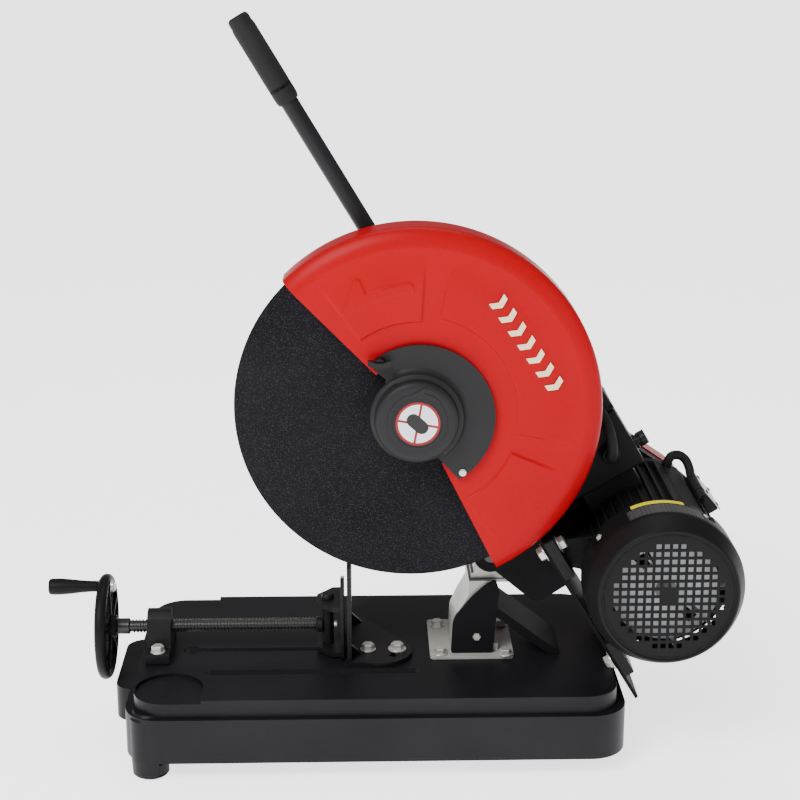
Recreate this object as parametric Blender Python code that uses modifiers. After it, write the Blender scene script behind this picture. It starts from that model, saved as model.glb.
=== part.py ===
"""Abrasive chop saw: a 400 mm disc on a belt-driven rocking arm, over a pressed-steel base with a screw vise.

Lengths are in millimetres in "saw" coordinates: X to the right, Y away from the operator's side view, Z up,
from the disc's centre. at() turns them into metres in the part's own frame, whose origin is on the floor under
the middle of the saw.
"""

import math

import bmesh
import bpy
from mathutils import Matrix, Vector

MM = 0.001
GAP = 0.3

# Where the disc's centre is in the part's own frame
DISC_X, DISC_Y, DISC_Z = 28.5, -74.0, 420.0

# Cutting disc and spindle
DISC_R, DISC_THICK, DISC_BORE_R = 200.0, 3.2, 16.3
SPINDLE_R = 16.0
FLANGE_R = 52.0
HOUSING_R, HOUSING_BORE_R = 36.0, 31.3
HOUSING_Y = (31.0, 165.7)
BEARING_WIDTH = 16.0

# Base
DECK_Z, TRAY_Z, SKIRT_Z = -322.0, -343.0, -397.0
SHEET = 5.0
TRAY_X, TRAY_Y, TRAY_CORNER_R = (-321.0, 236.0), (-75.0, 231.0), 38.0
SKIRT_X, SKIRT_Y, SKIRT_CORNER_R = (-331.0, 246.0), (-82.0, 238.0), 42.0
BULGE_X, BULGE_Y, BULGE_Z = (-350.0, -290.0), (6.0, 150.0), (-386.0, -345.0)
LEG_R, LEG_WALL = 24.0, 4.0
LEG_PLACES = (("front", -301.0, -56.0), ("rear", -301.0, 212.0))
CORNER_PADS = ((-280.0, -40.0), (-280.0, 196.0))
PAD_R, PAD_DROP = 36.0, 5.0
FOOT_R = 19.5
WHEEL_R, WHEEL_WIDTH, WHEEL_X = 32.0, 26.0, 196.0
WHEEL_PLACES = (("front", -6.0), ("rear", 162.0))
AXLE_R = 6.0

# Pedestal that carries the rocking arm
PIVOT_X, PIVOT_Z, PIVOT_R = 94.0, -191.0, 10.0
PEDESTAL_TOP_Z = -228.0
PEDESTAL_Y = (45.0, 118.0)
BRACKET_BOLTS = ((35.0, 38.0), (35.0, 121.0), (112.6, 34.0), (112.6, 121.0))
STOP_SLOPE = math.radians(-37.4)

# Rocking arm and motor
ARM_FRONT_Y, ARM_REAR_Y, ARM_THICK = 32.5, 122.5, 5.0
MOTOR_X, MOTOR_Z = 283.0, -195.0
MOUNT_ANGLE = math.radians(-59.0)
MOUNT_DROP, MOUNT_THICK = 97.0, 4.0
STATOR_R, STATOR_BORE_R, STATOR_Y = 84.0, 72.3, (-18.0, 150.0)
COWL_R, COWL_Y = 90.0, (-90.0, -19.0)
SHAFT_R = 12.0
FOOT_PADS = ((-98.0, -45.0), (47.0, 96.0))
FOOT_Y, FOOT_THICK = (-15.0, 147.0), 13.0

LEAD_GLAND, LEAD_START_Y = (-134.0, 20.0), 33.0
LEAD_R, CONDUIT_R = 6.2, 5.2

# Belt drive
PULLEY_Y = (172.0, 206.0)
MOTOR_PULLEY_R, SPINDLE_PULLEY_R = 47.0, 60.0
BELT_LANES = (("front", 175.0), ("rear", 191.0))
BELT_WIDTH, BELT_THICK = 11.0, 8.0
BELT_CASE_R = 76.0
BELT_CASE_Y = (166.0, 235.0)

# Guard over the disc
GUARD_X, GUARD_Z, GUARD_R = 4.0, -1.5, 209.3
GUARD_Y = (-27.0, 28.0)
GUARD_FROM, GUARD_TO = math.radians(-63.5), math.radians(134.5)
HUB_SCREW = (55.7, -67.2)
WING_NUT, NOTCH_HALF = (-37.0, 60.7), 3.2

# Handle
HANDLE_Y = 50.0
HANDLE_FOOT, HANDLE_DIRECTION = (64.0, 6.0), (-0.515, 0.857)
HANDLE_TUBE_R, GRIP_R = 10.0, 13.3

# Vise
SCREW_Y, SCREW_Z, SCREW_R = 64.0, -289.5, 8.0
WHEEL_PLATE_X, HANDWHEEL_R, CRANK_R = -363.0, 63.0, 51.5
JAW_PIN_X = -99.0
SCREW_BRACKET_BOLTS = ((-300.0, 31.0), (-300.0, 97.0))
FIXED_JAW_PIVOT, FIXED_JAW_LOCK = (-51.0, 49.0), (-16.0, 49.0)

parts = bpy.data.collections.new("abrasive_chop_saw")
cutters = bpy.data.collections.new("cutters")


def clear_scene():
    for thing in list(bpy.data.objects):
        bpy.data.objects.remove(thing, do_unlink=True)
    for collection in (parts, cutters):
        bpy.context.scene.collection.children.link(collection)


def at(x, y, z):
    return Vector((x + DISC_X, y + DISC_Y, z + DISC_Z)) * MM


def material(name, colour, roughness, metallic=0.0):
    made = bpy.data.materials.new(name)
    made.use_nodes = True
    shader = made.node_tree.nodes["Principled BSDF"]
    shader.inputs["Base Color"].default_value = (*colour, 1)
    shader.inputs["Roughness"].default_value = roughness
    shader.inputs["Metallic"].default_value = metallic
    return made


# ---------------------------------------------------------------- shapes

# Each turns a flat outline's own axes (across, up, out of it) into the saw's
FACING = {
    "X": Matrix(((0, 0, 1), (1, 0, 0), (0, 1, 0))).to_4x4(),
    "Y": Matrix(((1, 0, 0), (0, 0, -1), (0, 1, 0))).to_4x4(),
    "Z": Matrix.Identity(4),
}
ALONG = {
    "X": Matrix.Rotation(math.pi / 2, 4, "Y"),
    "Y": Matrix.Rotation(-math.pi / 2, 4, "X"),
    "Z": Matrix.Identity(4),
}


def keep(name, mesh, paint, helper=False):
    made = bpy.data.objects.new(name, mesh)
    (cutters if helper else parts).objects.link(made)
    made.hide_render = helper
    made.display_type = "WIRE" if helper else "TEXTURED"
    if paint:
        made.data.materials.append(paint)
    return made


def baked(source):
    """The object's evaluated mesh, placed in the world, as a plain closed mesh."""
    bpy.context.view_layer.update()
    graph = bpy.context.evaluated_depsgraph_get()
    mesh = bpy.data.meshes.new_from_object(source.evaluated_get(graph))
    mesh.transform(source.matrix_world)
    work = bmesh.new()
    work.from_mesh(mesh)
    bmesh.ops.remove_doubles(work, verts=work.verts, dist=1e-6)
    bmesh.ops.recalc_face_normals(work, faces=work.faces)
    work.to_mesh(mesh)
    work.free()
    return mesh


def arc(x, z, radius, start, end, steps):
    """Points round a centre, from one angle to another."""
    turn = (end - start) / steps
    return [
        (x + radius * math.cos(start + turn * i), z + radius * math.sin(start + turn * i))
        for i in range(steps + 1)
    ]


def circle(x, z, radius, steps=24):
    return arc(x, z, radius, 0, 2 * math.pi * (steps - 1) / steps, steps - 1)


def obround(ends, radius, steps=12):
    """The outline of a belt round two equal circles."""
    (ax, az), (bx, bz) = ends
    way = math.atan2(bz - az, bx - ax)
    quarter = math.pi / 2
    return arc(bx, bz, radius, way - quarter, way + quarter, steps) + arc(
        ax, az, radius, way + quarter, way + 3 * quarter, steps
    )


def rounded_rectangle(xs, ys, radius, inset=0.0, steps=5):
    """The outline of a rectangle with round corners, drawn in from its edges by the inset."""
    quarter = math.pi / 2
    left, right, near, far = xs[0] + radius, xs[1] - radius, ys[0] + radius, ys[1] - radius
    points = []
    for i, (x, y) in enumerate(((right, far), (left, far), (left, near), (right, near))):
        points += arc(x, y, radius - inset, i * quarter, (i + 1) * quarter, steps)
    return points


def soften_edges(made, width, segments=2):
    """Rounds the sharp edges of a solid, and leaves the facets of its curves alone."""
    bevel = made.modifiers.new("Rounding", "BEVEL")
    bevel.width = width * MM
    bevel.segments = segments
    bevel.limit_method = "ANGLE"
    bevel.angle_limit = math.radians(40)
    return made


def softened(points, radius, steps=3):
    """The same outline with each corner rounded, no more than its sides allow."""
    made = []
    for i, corner in enumerate(points):
        here = Vector(corner)
        before = Vector(points[i - 1]) - here
        after = Vector(points[(i + 1) % len(points)]) - here
        reach = min(radius, before.length * 0.45, after.length * 0.45)
        start = here + before.normalized() * reach
        end = here + after.normalized() * reach
        for k in range(steps + 1):
            t = k / steps
            made.append(tuple(start * (1 - t) ** 2 + here * 2 * t * (1 - t) + end * t**2))
    return made


def plate(name, facing, outline, low, high, paint=None, holes=(), helper=False):
    """A flat outline, with holes, made as thick as from low to high along its facing axis."""
    curve = bpy.data.curves.new(name + "_outline", "CURVE")
    curve.dimensions = "2D"
    curve.fill_mode = "BOTH"
    curve.extrude = (high - low) / 2 * MM
    for ring in (outline, *holes):
        spline = curve.splines.new("POLY")
        spline.points.add(len(ring) - 1)
        for point, (across, up) in zip(spline.points, ring):
            point.co = (across * MM, up * MM, 0, 1)
        spline.use_cyclic_u = True
    guide = bpy.data.objects.new(name + "_guide", curve)
    cutters.objects.link(guide)
    middle = (low + high) / 2
    offset = {"X": (middle, 0, 0), "Y": (0, middle, 0), "Z": (0, 0, middle)}[facing]
    guide.matrix_world = Matrix.Translation(at(*offset)) @ FACING[facing]
    mesh = baked(guide)
    bpy.data.objects.remove(guide)
    bpy.data.curves.remove(curve)
    mesh.name = name
    return keep(name, mesh, paint, helper)


def box(name, xs, ys, zs, paint=None, helper=False):
    bpy.ops.mesh.primitive_cube_add(size=1)
    cube = bpy.context.object
    cube.location = at(sum(xs) / 2, sum(ys) / 2, sum(zs) / 2)
    cube.scale = ((xs[1] - xs[0]) * MM, (ys[1] - ys[0]) * MM, (zs[1] - zs[0]) * MM)
    mesh = baked(cube)
    bpy.data.objects.remove(cube)
    mesh.name = name
    return keep(name, mesh, paint, helper)


def rod(name, axis, centre, low, high, radius, paint=None, sides=24, helper=False):
    """A round bar along an axis. Its centre is given across that axis, in X, Y, Z order."""
    bpy.ops.mesh.primitive_cylinder_add(vertices=sides, radius=radius * MM, depth=(high - low) * MM)
    bar = bpy.context.object
    place = list(centre)
    place.insert("XYZ".index(axis), (low + high) / 2)
    bar.matrix_world = Matrix.Translation(at(*place)) @ ALONG[axis]
    mesh = baked(bar)
    bpy.data.objects.remove(bar)
    mesh.name = name
    made = keep(name, mesh, paint, helper)
    smooth(made)
    return made


def turned(name, axis, centre, profile, paint=None, steps=24, ring=False, helper=False):
    """A profile of (radius, distance along the axis), its outer side first from the far end to the near end."""
    mesh = bpy.data.meshes.new(name)
    count = len(profile)
    edges = [(i, i + 1) for i in range(count - 1)] + ([(count - 1, 0)] if ring else [])
    mesh.from_pydata([(r * MM, 0, h * MM) for r, h in profile], edges, [])
    made = keep(name, mesh, paint, helper)
    place = list(centre)
    place.insert("XYZ".index(axis), 0)
    # The distance along the axis is the saw's own coordinate, so it is used unshifted there
    made.matrix_world = Matrix.Translation(at(*place)) @ ALONG[axis]
    screw = made.modifiers.new("Turn", "SCREW")
    screw.steps = screw.render_steps = steps
    screw.use_merge_vertices = True
    screw.merge_threshold = 0.00001
    screw.use_smooth_shade = False
    made.data = baked(made)
    made.modifiers.clear()
    made.matrix_world = Matrix.Identity(4)
    if paint and not made.data.materials:
        made.data.materials.append(paint)
    smooth(made)
    return made


def smooth(made):
    made.data.shade_smooth()
    made.data.set_sharp_from_angle(angle=math.radians(35))


def boolean(target, other, operation):
    step = target.modifiers.new(operation.title() + " " + other.name, "BOOLEAN")
    step.operation = operation
    step.solver = "EXACT"
    step.object = other
    return target


def unite(target, *others):
    """Joins helper solids onto the target, so that it stays one body."""
    for other in others:
        boolean(target, other, "UNION")
    return target


def cut(target, *others):
    for other in others:
        boolean(target, other, "DIFFERENCE")
    return target


def along_mount(u, n):
    """A point u down the motor's mounting plane and n out from the motor's shaft, as (X, Z)."""
    down = (math.cos(MOUNT_ANGLE), math.sin(MOUNT_ANGLE))
    return (MOTOR_X + u * down[0] - n * down[1], MOTOR_Z + u * down[1] + n * down[0])


def along_stop(s, h):
    """A point s down the stop's slope from its top end and h out of its upper face, as (X, Z)."""
    down = (math.cos(STOP_SLOPE), math.sin(STOP_SLOPE))
    return (102.7 + s * down[0] - h * down[1], -260.3 + s * down[1] + h * down[0])


def along_handle(t, offset=0.0):
    """A point t up the handle from its foot, as (X, Z)."""
    x, z = HANDLE_DIRECTION
    return (HANDLE_FOOT[0] + x * t + z * offset, HANDLE_FOOT[1] + z * t - x * offset)


def slab(name, place, us, ns, low, high, paint=None, helper=False):
    """A block whose sides follow a sloping plane in XZ, as deep as from low to high in Y."""
    corners = [place(us[0], ns[0]), place(us[1], ns[0]), place(us[1], ns[1]), place(us[0], ns[1])]
    return plate(name, "Y", corners, low, high, paint, helper=helper)


def slanted_rod(name, start, end, y, radius, paint=None, helper=False, sides=24):
    """A round bar between two (X, Z) points at one Y."""
    a, b = at(start[0], y, start[1]), at(end[0], y, end[1])
    bpy.ops.mesh.primitive_cylinder_add(vertices=sides, radius=radius * MM, depth=(b - a).length)
    bar = bpy.context.object
    turn = Vector((0, 0, 1)).rotation_difference(b - a).to_matrix().to_4x4()
    bar.matrix_world = Matrix.Translation((a + b) / 2) @ turn
    mesh = baked(bar)
    bpy.data.objects.remove(bar)
    mesh.name = name
    made = keep(name, mesh, paint, helper)
    smooth(made)
    return made


def bolt_down(name, x, y, seat_z, paint, reach=14.0, shank_r=4.0, head=(7.5, 6.0), washer=(9.0, 1.6)):
    """A hexagon bolt with its washer standing on a level face."""
    made = rod(name, "Z", (x, y), seat_z - reach, seat_z + washer[1], shank_r, paint, sides=12)
    ring = rod(name + "_washer", "Z", (x, y), seat_z + GAP, seat_z + washer[1], washer[0], sides=16, helper=True)
    top = rod(
        name + "_head", "Z", (x, y), seat_z + washer[1] - 0.1, seat_z + washer[1] + head[1], head[0],
        sides=6, helper=True,
    )
    return unite(made, ring, top)


# ---------------------------------------------------------------- the base

def shell(name, xs, ys, radius, low, high, floor, paint=None, helper=False, inset=0.0):
    """A level tray-shaped block, or with an inset the space inside it that runs down past the floor."""
    outline = rounded_rectangle(xs, ys, radius, inset)
    return plate(name, "Z", outline, floor if inset else low, high - inset, paint, helper=helper)


def make_base(paint, rubber, steel, plastic):
    skirt_shape = (SKIRT_X, SKIRT_Y, SKIRT_CORNER_R, SKIRT_Z, TRAY_Z, SKIRT_Z - 1)
    tray_shape = (TRAY_X, TRAY_Y, TRAY_CORNER_R, TRAY_Z - 2, DECK_Z, TRAY_Z - 2 * SHEET)
    bulge_shape = (BULGE_X, BULGE_Y, 22.0, *BULGE_Z, BULGE_Z[0] - 1)
    skirt = soften_edges(shell("base_frame", *skirt_shape, paint), 4)
    tray = soften_edges(shell("base_tray", *tray_shape, helper=True), 5)
    bulge = soften_edges(shell("base_bulge", *bulge_shape, helper=True), 9)
    pads = [rod(f"pad_{i}", "Z", place, DECK_Z - 16, DECK_Z - 2, PAD_R + 6, helper=True, sides=32)
            for i, place in enumerate(CORNER_PADS)]
    legs = [
        rod(f"leg_{end}", "Z", (x, y), -418.5, DECK_Z - 12, LEG_R, sides=24, helper=True)
        for end, x, y in LEG_PLACES
    ]
    hollows = [
        shell("skirt_hollow", *skirt_shape, helper=True, inset=SHEET),
        shell("tray_hollow", *tray_shape, helper=True, inset=SHEET),
        shell("bulge_hollow", *bulge_shape, helper=True, inset=SHEET),
    ]
    leg_bores = [
        rod(f"leg_bore_{end}", "Z", (x, y), -420, TRAY_Z - 8, LEG_R - LEG_WALL, sides=24, helper=True)
        for end, x, y in LEG_PLACES
    ]
    recesses = [rod(f"pad_recess_{i}", "Z", place, DECK_Z - PAD_DROP, DECK_Z + 2, PAD_R, helper=True, sides=32)
                for i, place in enumerate(CORNER_PADS)]
    slots = [
        plate("disc_slot", "Z", obround(((-234, 0), (3, 0)), 7, 6), DECK_Z - 8, DECK_Z + 2, helper=True),
        plate("guide_slot", "Z", obround(((-262, 64), (-92, 64)), 5, 6), DECK_Z - 8, DECK_Z + 2, helper=True),
        rod("guide_hole", "Z", (-262, 64), DECK_Z - 8, DECK_Z + 2, 11, sides=16, helper=True),
    ]
    bolt_holes = [
        rod(f"deck_hole_{i}", "Z", place, DECK_Z - 8, DECK_Z + 2, 4.4, sides=12, helper=True)
        for i, place in enumerate(
            (*BRACKET_BOLTS, FIXED_JAW_PIVOT, FIXED_JAW_LOCK, *SCREW_BRACKET_BOLTS)
        )
    ]
    brackets = [
        plate(
            f"wheel_bracket_{end}", "Y",
            softened([(176, DECK_Z - 3), (180, -398), (212, -398), (216, DECK_Z - 3)], 8), y, y + 4,
            helper=True, holes=[circle(WHEEL_X, WHEEL_R - 420, AXLE_R + GAP, 16)],
        )
        for end, y in (("front", 16.0), ("rear", 136.0))
    ]
    unite(skirt, tray, bulge)
    cut(skirt, *hollows)
    unite(skirt, *pads, *legs, *brackets)
    cut(skirt, *leg_bores, *recesses, *slots, *bolt_holes)
    for end, x, y in LEG_PLACES:
        turned(
            f"foot_{end}", "Z", (x, y),
            [(0, -404), (FOOT_R, -404), (FOOT_R, -420), (0, -420)], rubber, steps=20,
        )
    rod("wheel_axle", "Y", (WHEEL_X, WHEEL_R - 420), -20, 176, AXLE_R, steel, sides=16)
    for end, y in WHEEL_PLACES:
        half = WHEEL_WIDTH / 2
        turned(
            f"wheel_{end}", "Y", (WHEEL_X, WHEEL_R - 420),
            [
                (AXLE_R + GAP, y + half), (WHEEL_R - 3, y + half), (WHEEL_R, y + half - 3),
                (WHEEL_R, y - half + 3), (WHEEL_R - 3, y - half), (AXLE_R + GAP, y - half),
            ],
            plastic, ring=True,
        )


# ---------------------------------------------------------------- the pedestal and the stop

def make_pedestal(grey, black, steel):
    seat = DECK_Z + GAP
    holes = [circle(x, y, 4.4, 12) for x, y in BRACKET_BOLTS]
    bracket = plate(
        "pedestal", "Z", softened([(23, 29), (123, 29), (123, 141), (23, 141)], 6), seat, seat + 4, grey,
        holes=holes,
    )
    flank = [(48, seat + 3), (50, -285), (59, -264), (69, -246), (69, PEDESTAL_TOP_Z)]
    column = flank + [(97, PEDESTAL_TOP_Z), (97, seat + 3)]
    inner = [(x + 4, z) for x, z in flank[:-1]] + [(73, PEDESTAL_TOP_Z - 4), (93, PEDESTAL_TOP_Z - 4), (93, seat)]
    front, rear = PEDESTAL_Y
    body = plate("pedestal_column", "Y", column, front, rear, helper=True)
    hollow = plate("pedestal_hollow", "Y", inner, front + 4, rear - 4, helper=True)
    # The column is open at the bottom of its right side, where the sheet is cut away
    window = box("pedestal_window", (90, 100), (front + 10, rear - 10), (seat + 4, -262), helper=True)
    table = box("pedestal_table", (69, 120), (51, rear), (PEDESTAL_TOP_Z - 4, PEDESTAL_TOP_Z), helper=True)
    toe = box("pedestal_toe", (96, 104.5), (front, front + 4), (seat + 3, -308), helper=True)
    unite(bracket, body)
    cut(bracket, hollow, window)
    unite(bracket, table, toe)
    for i, (x, y) in enumerate(BRACKET_BOLTS, 1):
        bolt_down(f"pedestal_bolt_{i}", x, y, seat + 4, steel, reach=16)

    stop = plate(
        "arm_stop", "Y",
        softened(
            [(48, seat + 4 + GAP), (50, -279), (53, -270), (74, -245), (90, -230.5), (100.6, -225),
             (105, -238), (98, seat + 4 + GAP)], 3, 2,
        ),
        38, 43, black, holes=[circle(78.7, -296.5, 4.3, 12)],
    )
    ramp = slab("stop_ramp", along_stop, (0, 95), (-4, 0), 39.5, 118, helper=True)
    lip_front = slab("stop_lip_front", along_stop, (-3, 96), (-10, -0.5), 39, 42.4, helper=True)
    lip_rear = slab("stop_lip_rear", along_stop, (2, 94), (-10, -1), 114, 117.6, helper=True)
    level = box("stop_foot_level", (150, 200), (36, 120), (DECK_Z - 20, DECK_Z + GAP), helper=True)
    unite(stop, ramp, lip_front, lip_rear)
    cut(stop, level)
    turned(
        "stop_bolt", "Y", (78.7, -296.5),
        [(0, 44.7), (4, 44.7), (4, 37.7), (5, 37.7), (5, 35), (4, 34), (0, 34)], steel, steps=12,
    )
    foot = PEDESTAL_TOP_Z + GAP
    yoke = box("pivot_yoke", (72, 118), (53, 115), (foot, foot + 7), black)
    lug = [(75, foot + 3), (113, foot + 3)] + arc(PIVOT_X, PIVOT_Z, 20, 0, math.pi, 12)
    for end, y in (("front", 53.0), ("rear", 99.0)):
        unite(yoke, plate(f"yoke_lug_{end}", "Y", lug, y, y + 16, helper=True))
    cut(yoke, rod("yoke_bore", "Y", (PIVOT_X, PIVOT_Z), 50, 118, PIVOT_R + GAP, helper=True))


# ---------------------------------------------------------------- the rocking arm

def arm_outline():
    """One side plate: round the spindle, down to the pivot, along to the motor and back up to the handle."""
    corner = math.radians
    points = arc(0, 0, 52, corner(60), corner(215), 8)
    points += arc(PIVOT_X, PIVOT_Z, 21, corner(190), corner(285), 5)
    points += [(139.8, -245.5), (144, -248), (148, -249), (153, -248.5), (158.8, -245.5)]
    points += [along_mount(-22, -100), along_mount(-104, -100), (88, -20), (66, 34)]
    return points


def make_arm(black, steel):
    rings = [circle(0, 0, HOUSING_R + GAP, 28), circle(PIVOT_X, PIVOT_Z, PIVOT_R + GAP, 20)]
    arm = plate("rocking_arm", "Y", arm_outline(), ARM_FRONT_Y, ARM_FRONT_Y + ARM_THICK, black, holes=rings)
    rear = plate(
        "arm_rear_plate", "Y", arm_outline(), ARM_REAR_Y, ARM_REAR_Y + ARM_THICK, holes=rings, helper=True
    )
    inner_y = (ARM_FRONT_Y + ARM_THICK - 1, ARM_REAR_Y + 1)
    web = slab("arm_web", along_mount, (-100, -26), (-109, -99), *inner_y, helper=True)
    bed = slab(
        "motor_bed", along_mount, (-101, 133), (-MOUNT_DROP - MOUNT_THICK, -MOUNT_DROP), 0, 155, helper=True
    )
    pad = turned(
        "guard_seat", "Y", (0, 0),
        [(49, ARM_FRONT_Y + 1), (49, GUARD_Y[1] + GAP), (HOUSING_R + 1, GUARD_Y[1] + GAP),
         (HOUSING_R + 1, ARM_FRONT_Y + 1)], ring=True, helper=True,
    )
    tie = plate("arm_tie", "Y", softened([(98, -120), (112, -120), (104, -60), (90, -60)], 3), *inner_y, helper=True)
    socket = slanted_rod("arm_socket", along_handle(-8), along_handle(95), HANDLE_Y, 14.5, helper=True)
    bore = slanted_rod(
        "arm_socket_bore", along_handle(-2), along_handle(99), HANDLE_Y, HANDLE_TUBE_R + GAP, helper=True
    )
    unite(arm, rear, web, bed, pad, tie, socket)
    cut(arm, bore)
    rod("pivot_shaft", "Y", (PIVOT_X, PIVOT_Z), 31.5, 129, PIVOT_R, steel)
    slanted_rod("handle_tube", along_handle(0), along_handle(487), HANDLE_Y, HANDLE_TUBE_R, black)
    grip = slanted_rod("handle_grip", along_handle(385), along_handle(492), HANDLE_Y, GRIP_R)
    grip.data.materials.append(material("grip_rubber", (0.03, 0.03, 0.03), 0.6))
    hole = slanted_rod("grip_hole", along_handle(383), along_handle(487.3), HANDLE_Y, HANDLE_TUBE_R + GAP, helper=True)
    cut(grip, hole)


def make_spindle(black, steel, grit):
    turned(
        "spindle_housing", "Y", (0, 0),
        [(HOUSING_R, HOUSING_Y[1]), (HOUSING_R, HOUSING_Y[0]), (HOUSING_BORE_R, HOUSING_Y[0]),
         (HOUSING_BORE_R, HOUSING_Y[1])],
        black, ring=True,
    )
    for end, y in (("front", HOUSING_Y[0] + 2), ("rear", HOUSING_Y[1] - 2 - BEARING_WIDTH)):
        turned(
            f"spindle_bearing_{end}", "Y", (0, 0),
            [(HOUSING_BORE_R - GAP, y + BEARING_WIDTH), (HOUSING_BORE_R - GAP, y),
             (SPINDLE_R + GAP, y), (SPINDLE_R + GAP, y + BEARING_WIDTH)],
            steel, ring=True, steps=20,
        )
    turned(
        "spindle_shaft", "Y", (0, 0),
        [(0, 210), (SPINDLE_R, 210), (SPINDLE_R, -14), (10, -14), (10, -25), (0, -25)], steel, steps=20,
    )
    half = DISC_THICK / 2
    turned(
        "inner_flange", "Y", (0, 0),
        [(SPINDLE_R + GAP, 26), (26, 26), (FLANGE_R, 12), (FLANGE_R, half + GAP), (SPINDLE_R + GAP, half + GAP)],
        steel, ring=True,
    )
    turned(
        "outer_flange", "Y", (0, 0),
        [(SPINDLE_R + GAP, -half - GAP), (FLANGE_R, -half - GAP), (FLANGE_R, -9), (26, -13.8), (SPINDLE_R + GAP, -13.8)],
        steel, ring=True,
    )
    plate(
        "spindle_nut", "Y", circle(0, 0, 15.5, 6), -23.5, -14.3, steel, holes=[circle(0, 0, 10.3, 20)]
    )
    turned(
        "cutting_disc", "Y", (0, 0),
        [(DISC_BORE_R, half), (DISC_R, half), (DISC_R, -half), (DISC_BORE_R, -half)], grit, ring=True, steps=64,
    )


# ---------------------------------------------------------------- the guard

def make_guard(red, dark, black, steel):
    shell = arc(GUARD_X, GUARD_Z, GUARD_R, GUARD_FROM, GUARD_TO, 36)
    inner = arc(GUARD_X, GUARD_Z, GUARD_R - 2.5, GUARD_FROM, GUARD_TO, 36)
    hub = arc(0, 0, 64, GUARD_FROM, GUARD_TO, 14)
    hole = arc(0, 0, 40, GUARD_FROM, GUARD_TO, 14)
    front, back = GUARD_Y
    guard = plate("disc_guard", "Y", shell + hub[::-1], front, front + 2.5, red)
    rim = plate("guard_rim", "Y", shell + inner[::-1], front + 0.5, back, helper=True)
    rear = plate("guard_rear_face", "Y", shell + hole[::-1], back - 2.5, back, helper=True)
    unite(guard, rim, rear)
    for i, place in enumerate((HUB_SCREW, WING_NUT)):
        cut(guard, rod(f"guard_stud_hole_{i}", "Y", place, front - 5, front + 5, 2.8, helper=True, sides=12))

    flange = plate(
        "hub_cover", "Y",
        arc(7.5, -4, 84, GUARD_FROM + 0.09, GUARD_TO - 0.02, 18) + [(-22, 30), (-30, -10), (-8, -36), (22, -44)],
        front - 3.8, front - GAP, dark, holes=[circle(*HUB_SCREW, 2.8, 12)],
    )
    dome = turned(
        "hub_dome", "Y", (4, -3),
        [(0, front - GAP), (52, front - GAP), (52, front - 6), (47, front - 8), (46, front - 20),
         (42, front - 24), (0, front - 24)],
        helper=True, steps=32,
    )
    hollow = rod("hub_hollow", "Y", (4, -3), front - 20, front + 2, 41, helper=True, sides=32)
    # The notch lets the wing nut's stud out as the cover swings away over the guard
    reach = math.dist(HUB_SCREW, WING_NUT)
    turn = math.atan2(WING_NUT[1] - HUB_SCREW[1], WING_NUT[0] - HUB_SCREW[0])
    leave = turn + math.radians(12)
    path = arc(*HUB_SCREW, reach + NOTCH_HALF, turn, leave, 6)
    path += arc(*HUB_SCREW, reach - NOTCH_HALF, leave, turn, 6)
    path += arc(*WING_NUT, NOTCH_HALF, turn + math.pi, turn + 2 * math.pi, 6)[1:-1]
    notch = plate("hub_notch", "Y", path, front - 6, front + 1, helper=True)
    unite(flange, dome)
    cut(flange, hollow, notch)
    screw_x, screw_z = HUB_SCREW
    turned(
        "hub_hinge_screw", "Y", (screw_x, screw_z),
        [(0, front + 6), (2.4, front + 6), (2.4, front - 4.1), (5, front - 4.1), (5, front - 6.5), (0, front - 6.5)],
        steel, steps=12,
    )
    nut = turned(
        "hub_wing_nut", "Y", WING_NUT,
        [(0, front + 7), (2.4, front + 7), (2.4, front - 4.1), (7, front - 4.1), (6, front - 13),
         (0, front - 13)], black, steps=12,
    )
    ears = plate(
        "wing_ears", "Y",
        [(WING_NUT[0] + x, WING_NUT[1] + z) for x, z in softened(
            [(-13, 6), (-13, -1), (-5, -4), (5, -4), (13, -1), (13, 6), (5, 2), (-5, 2)], 3, 2)],
        front - 17, front - 10, helper=True,
    )
    unite(nut, ears)


# ---------------------------------------------------------------- the motor

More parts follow.
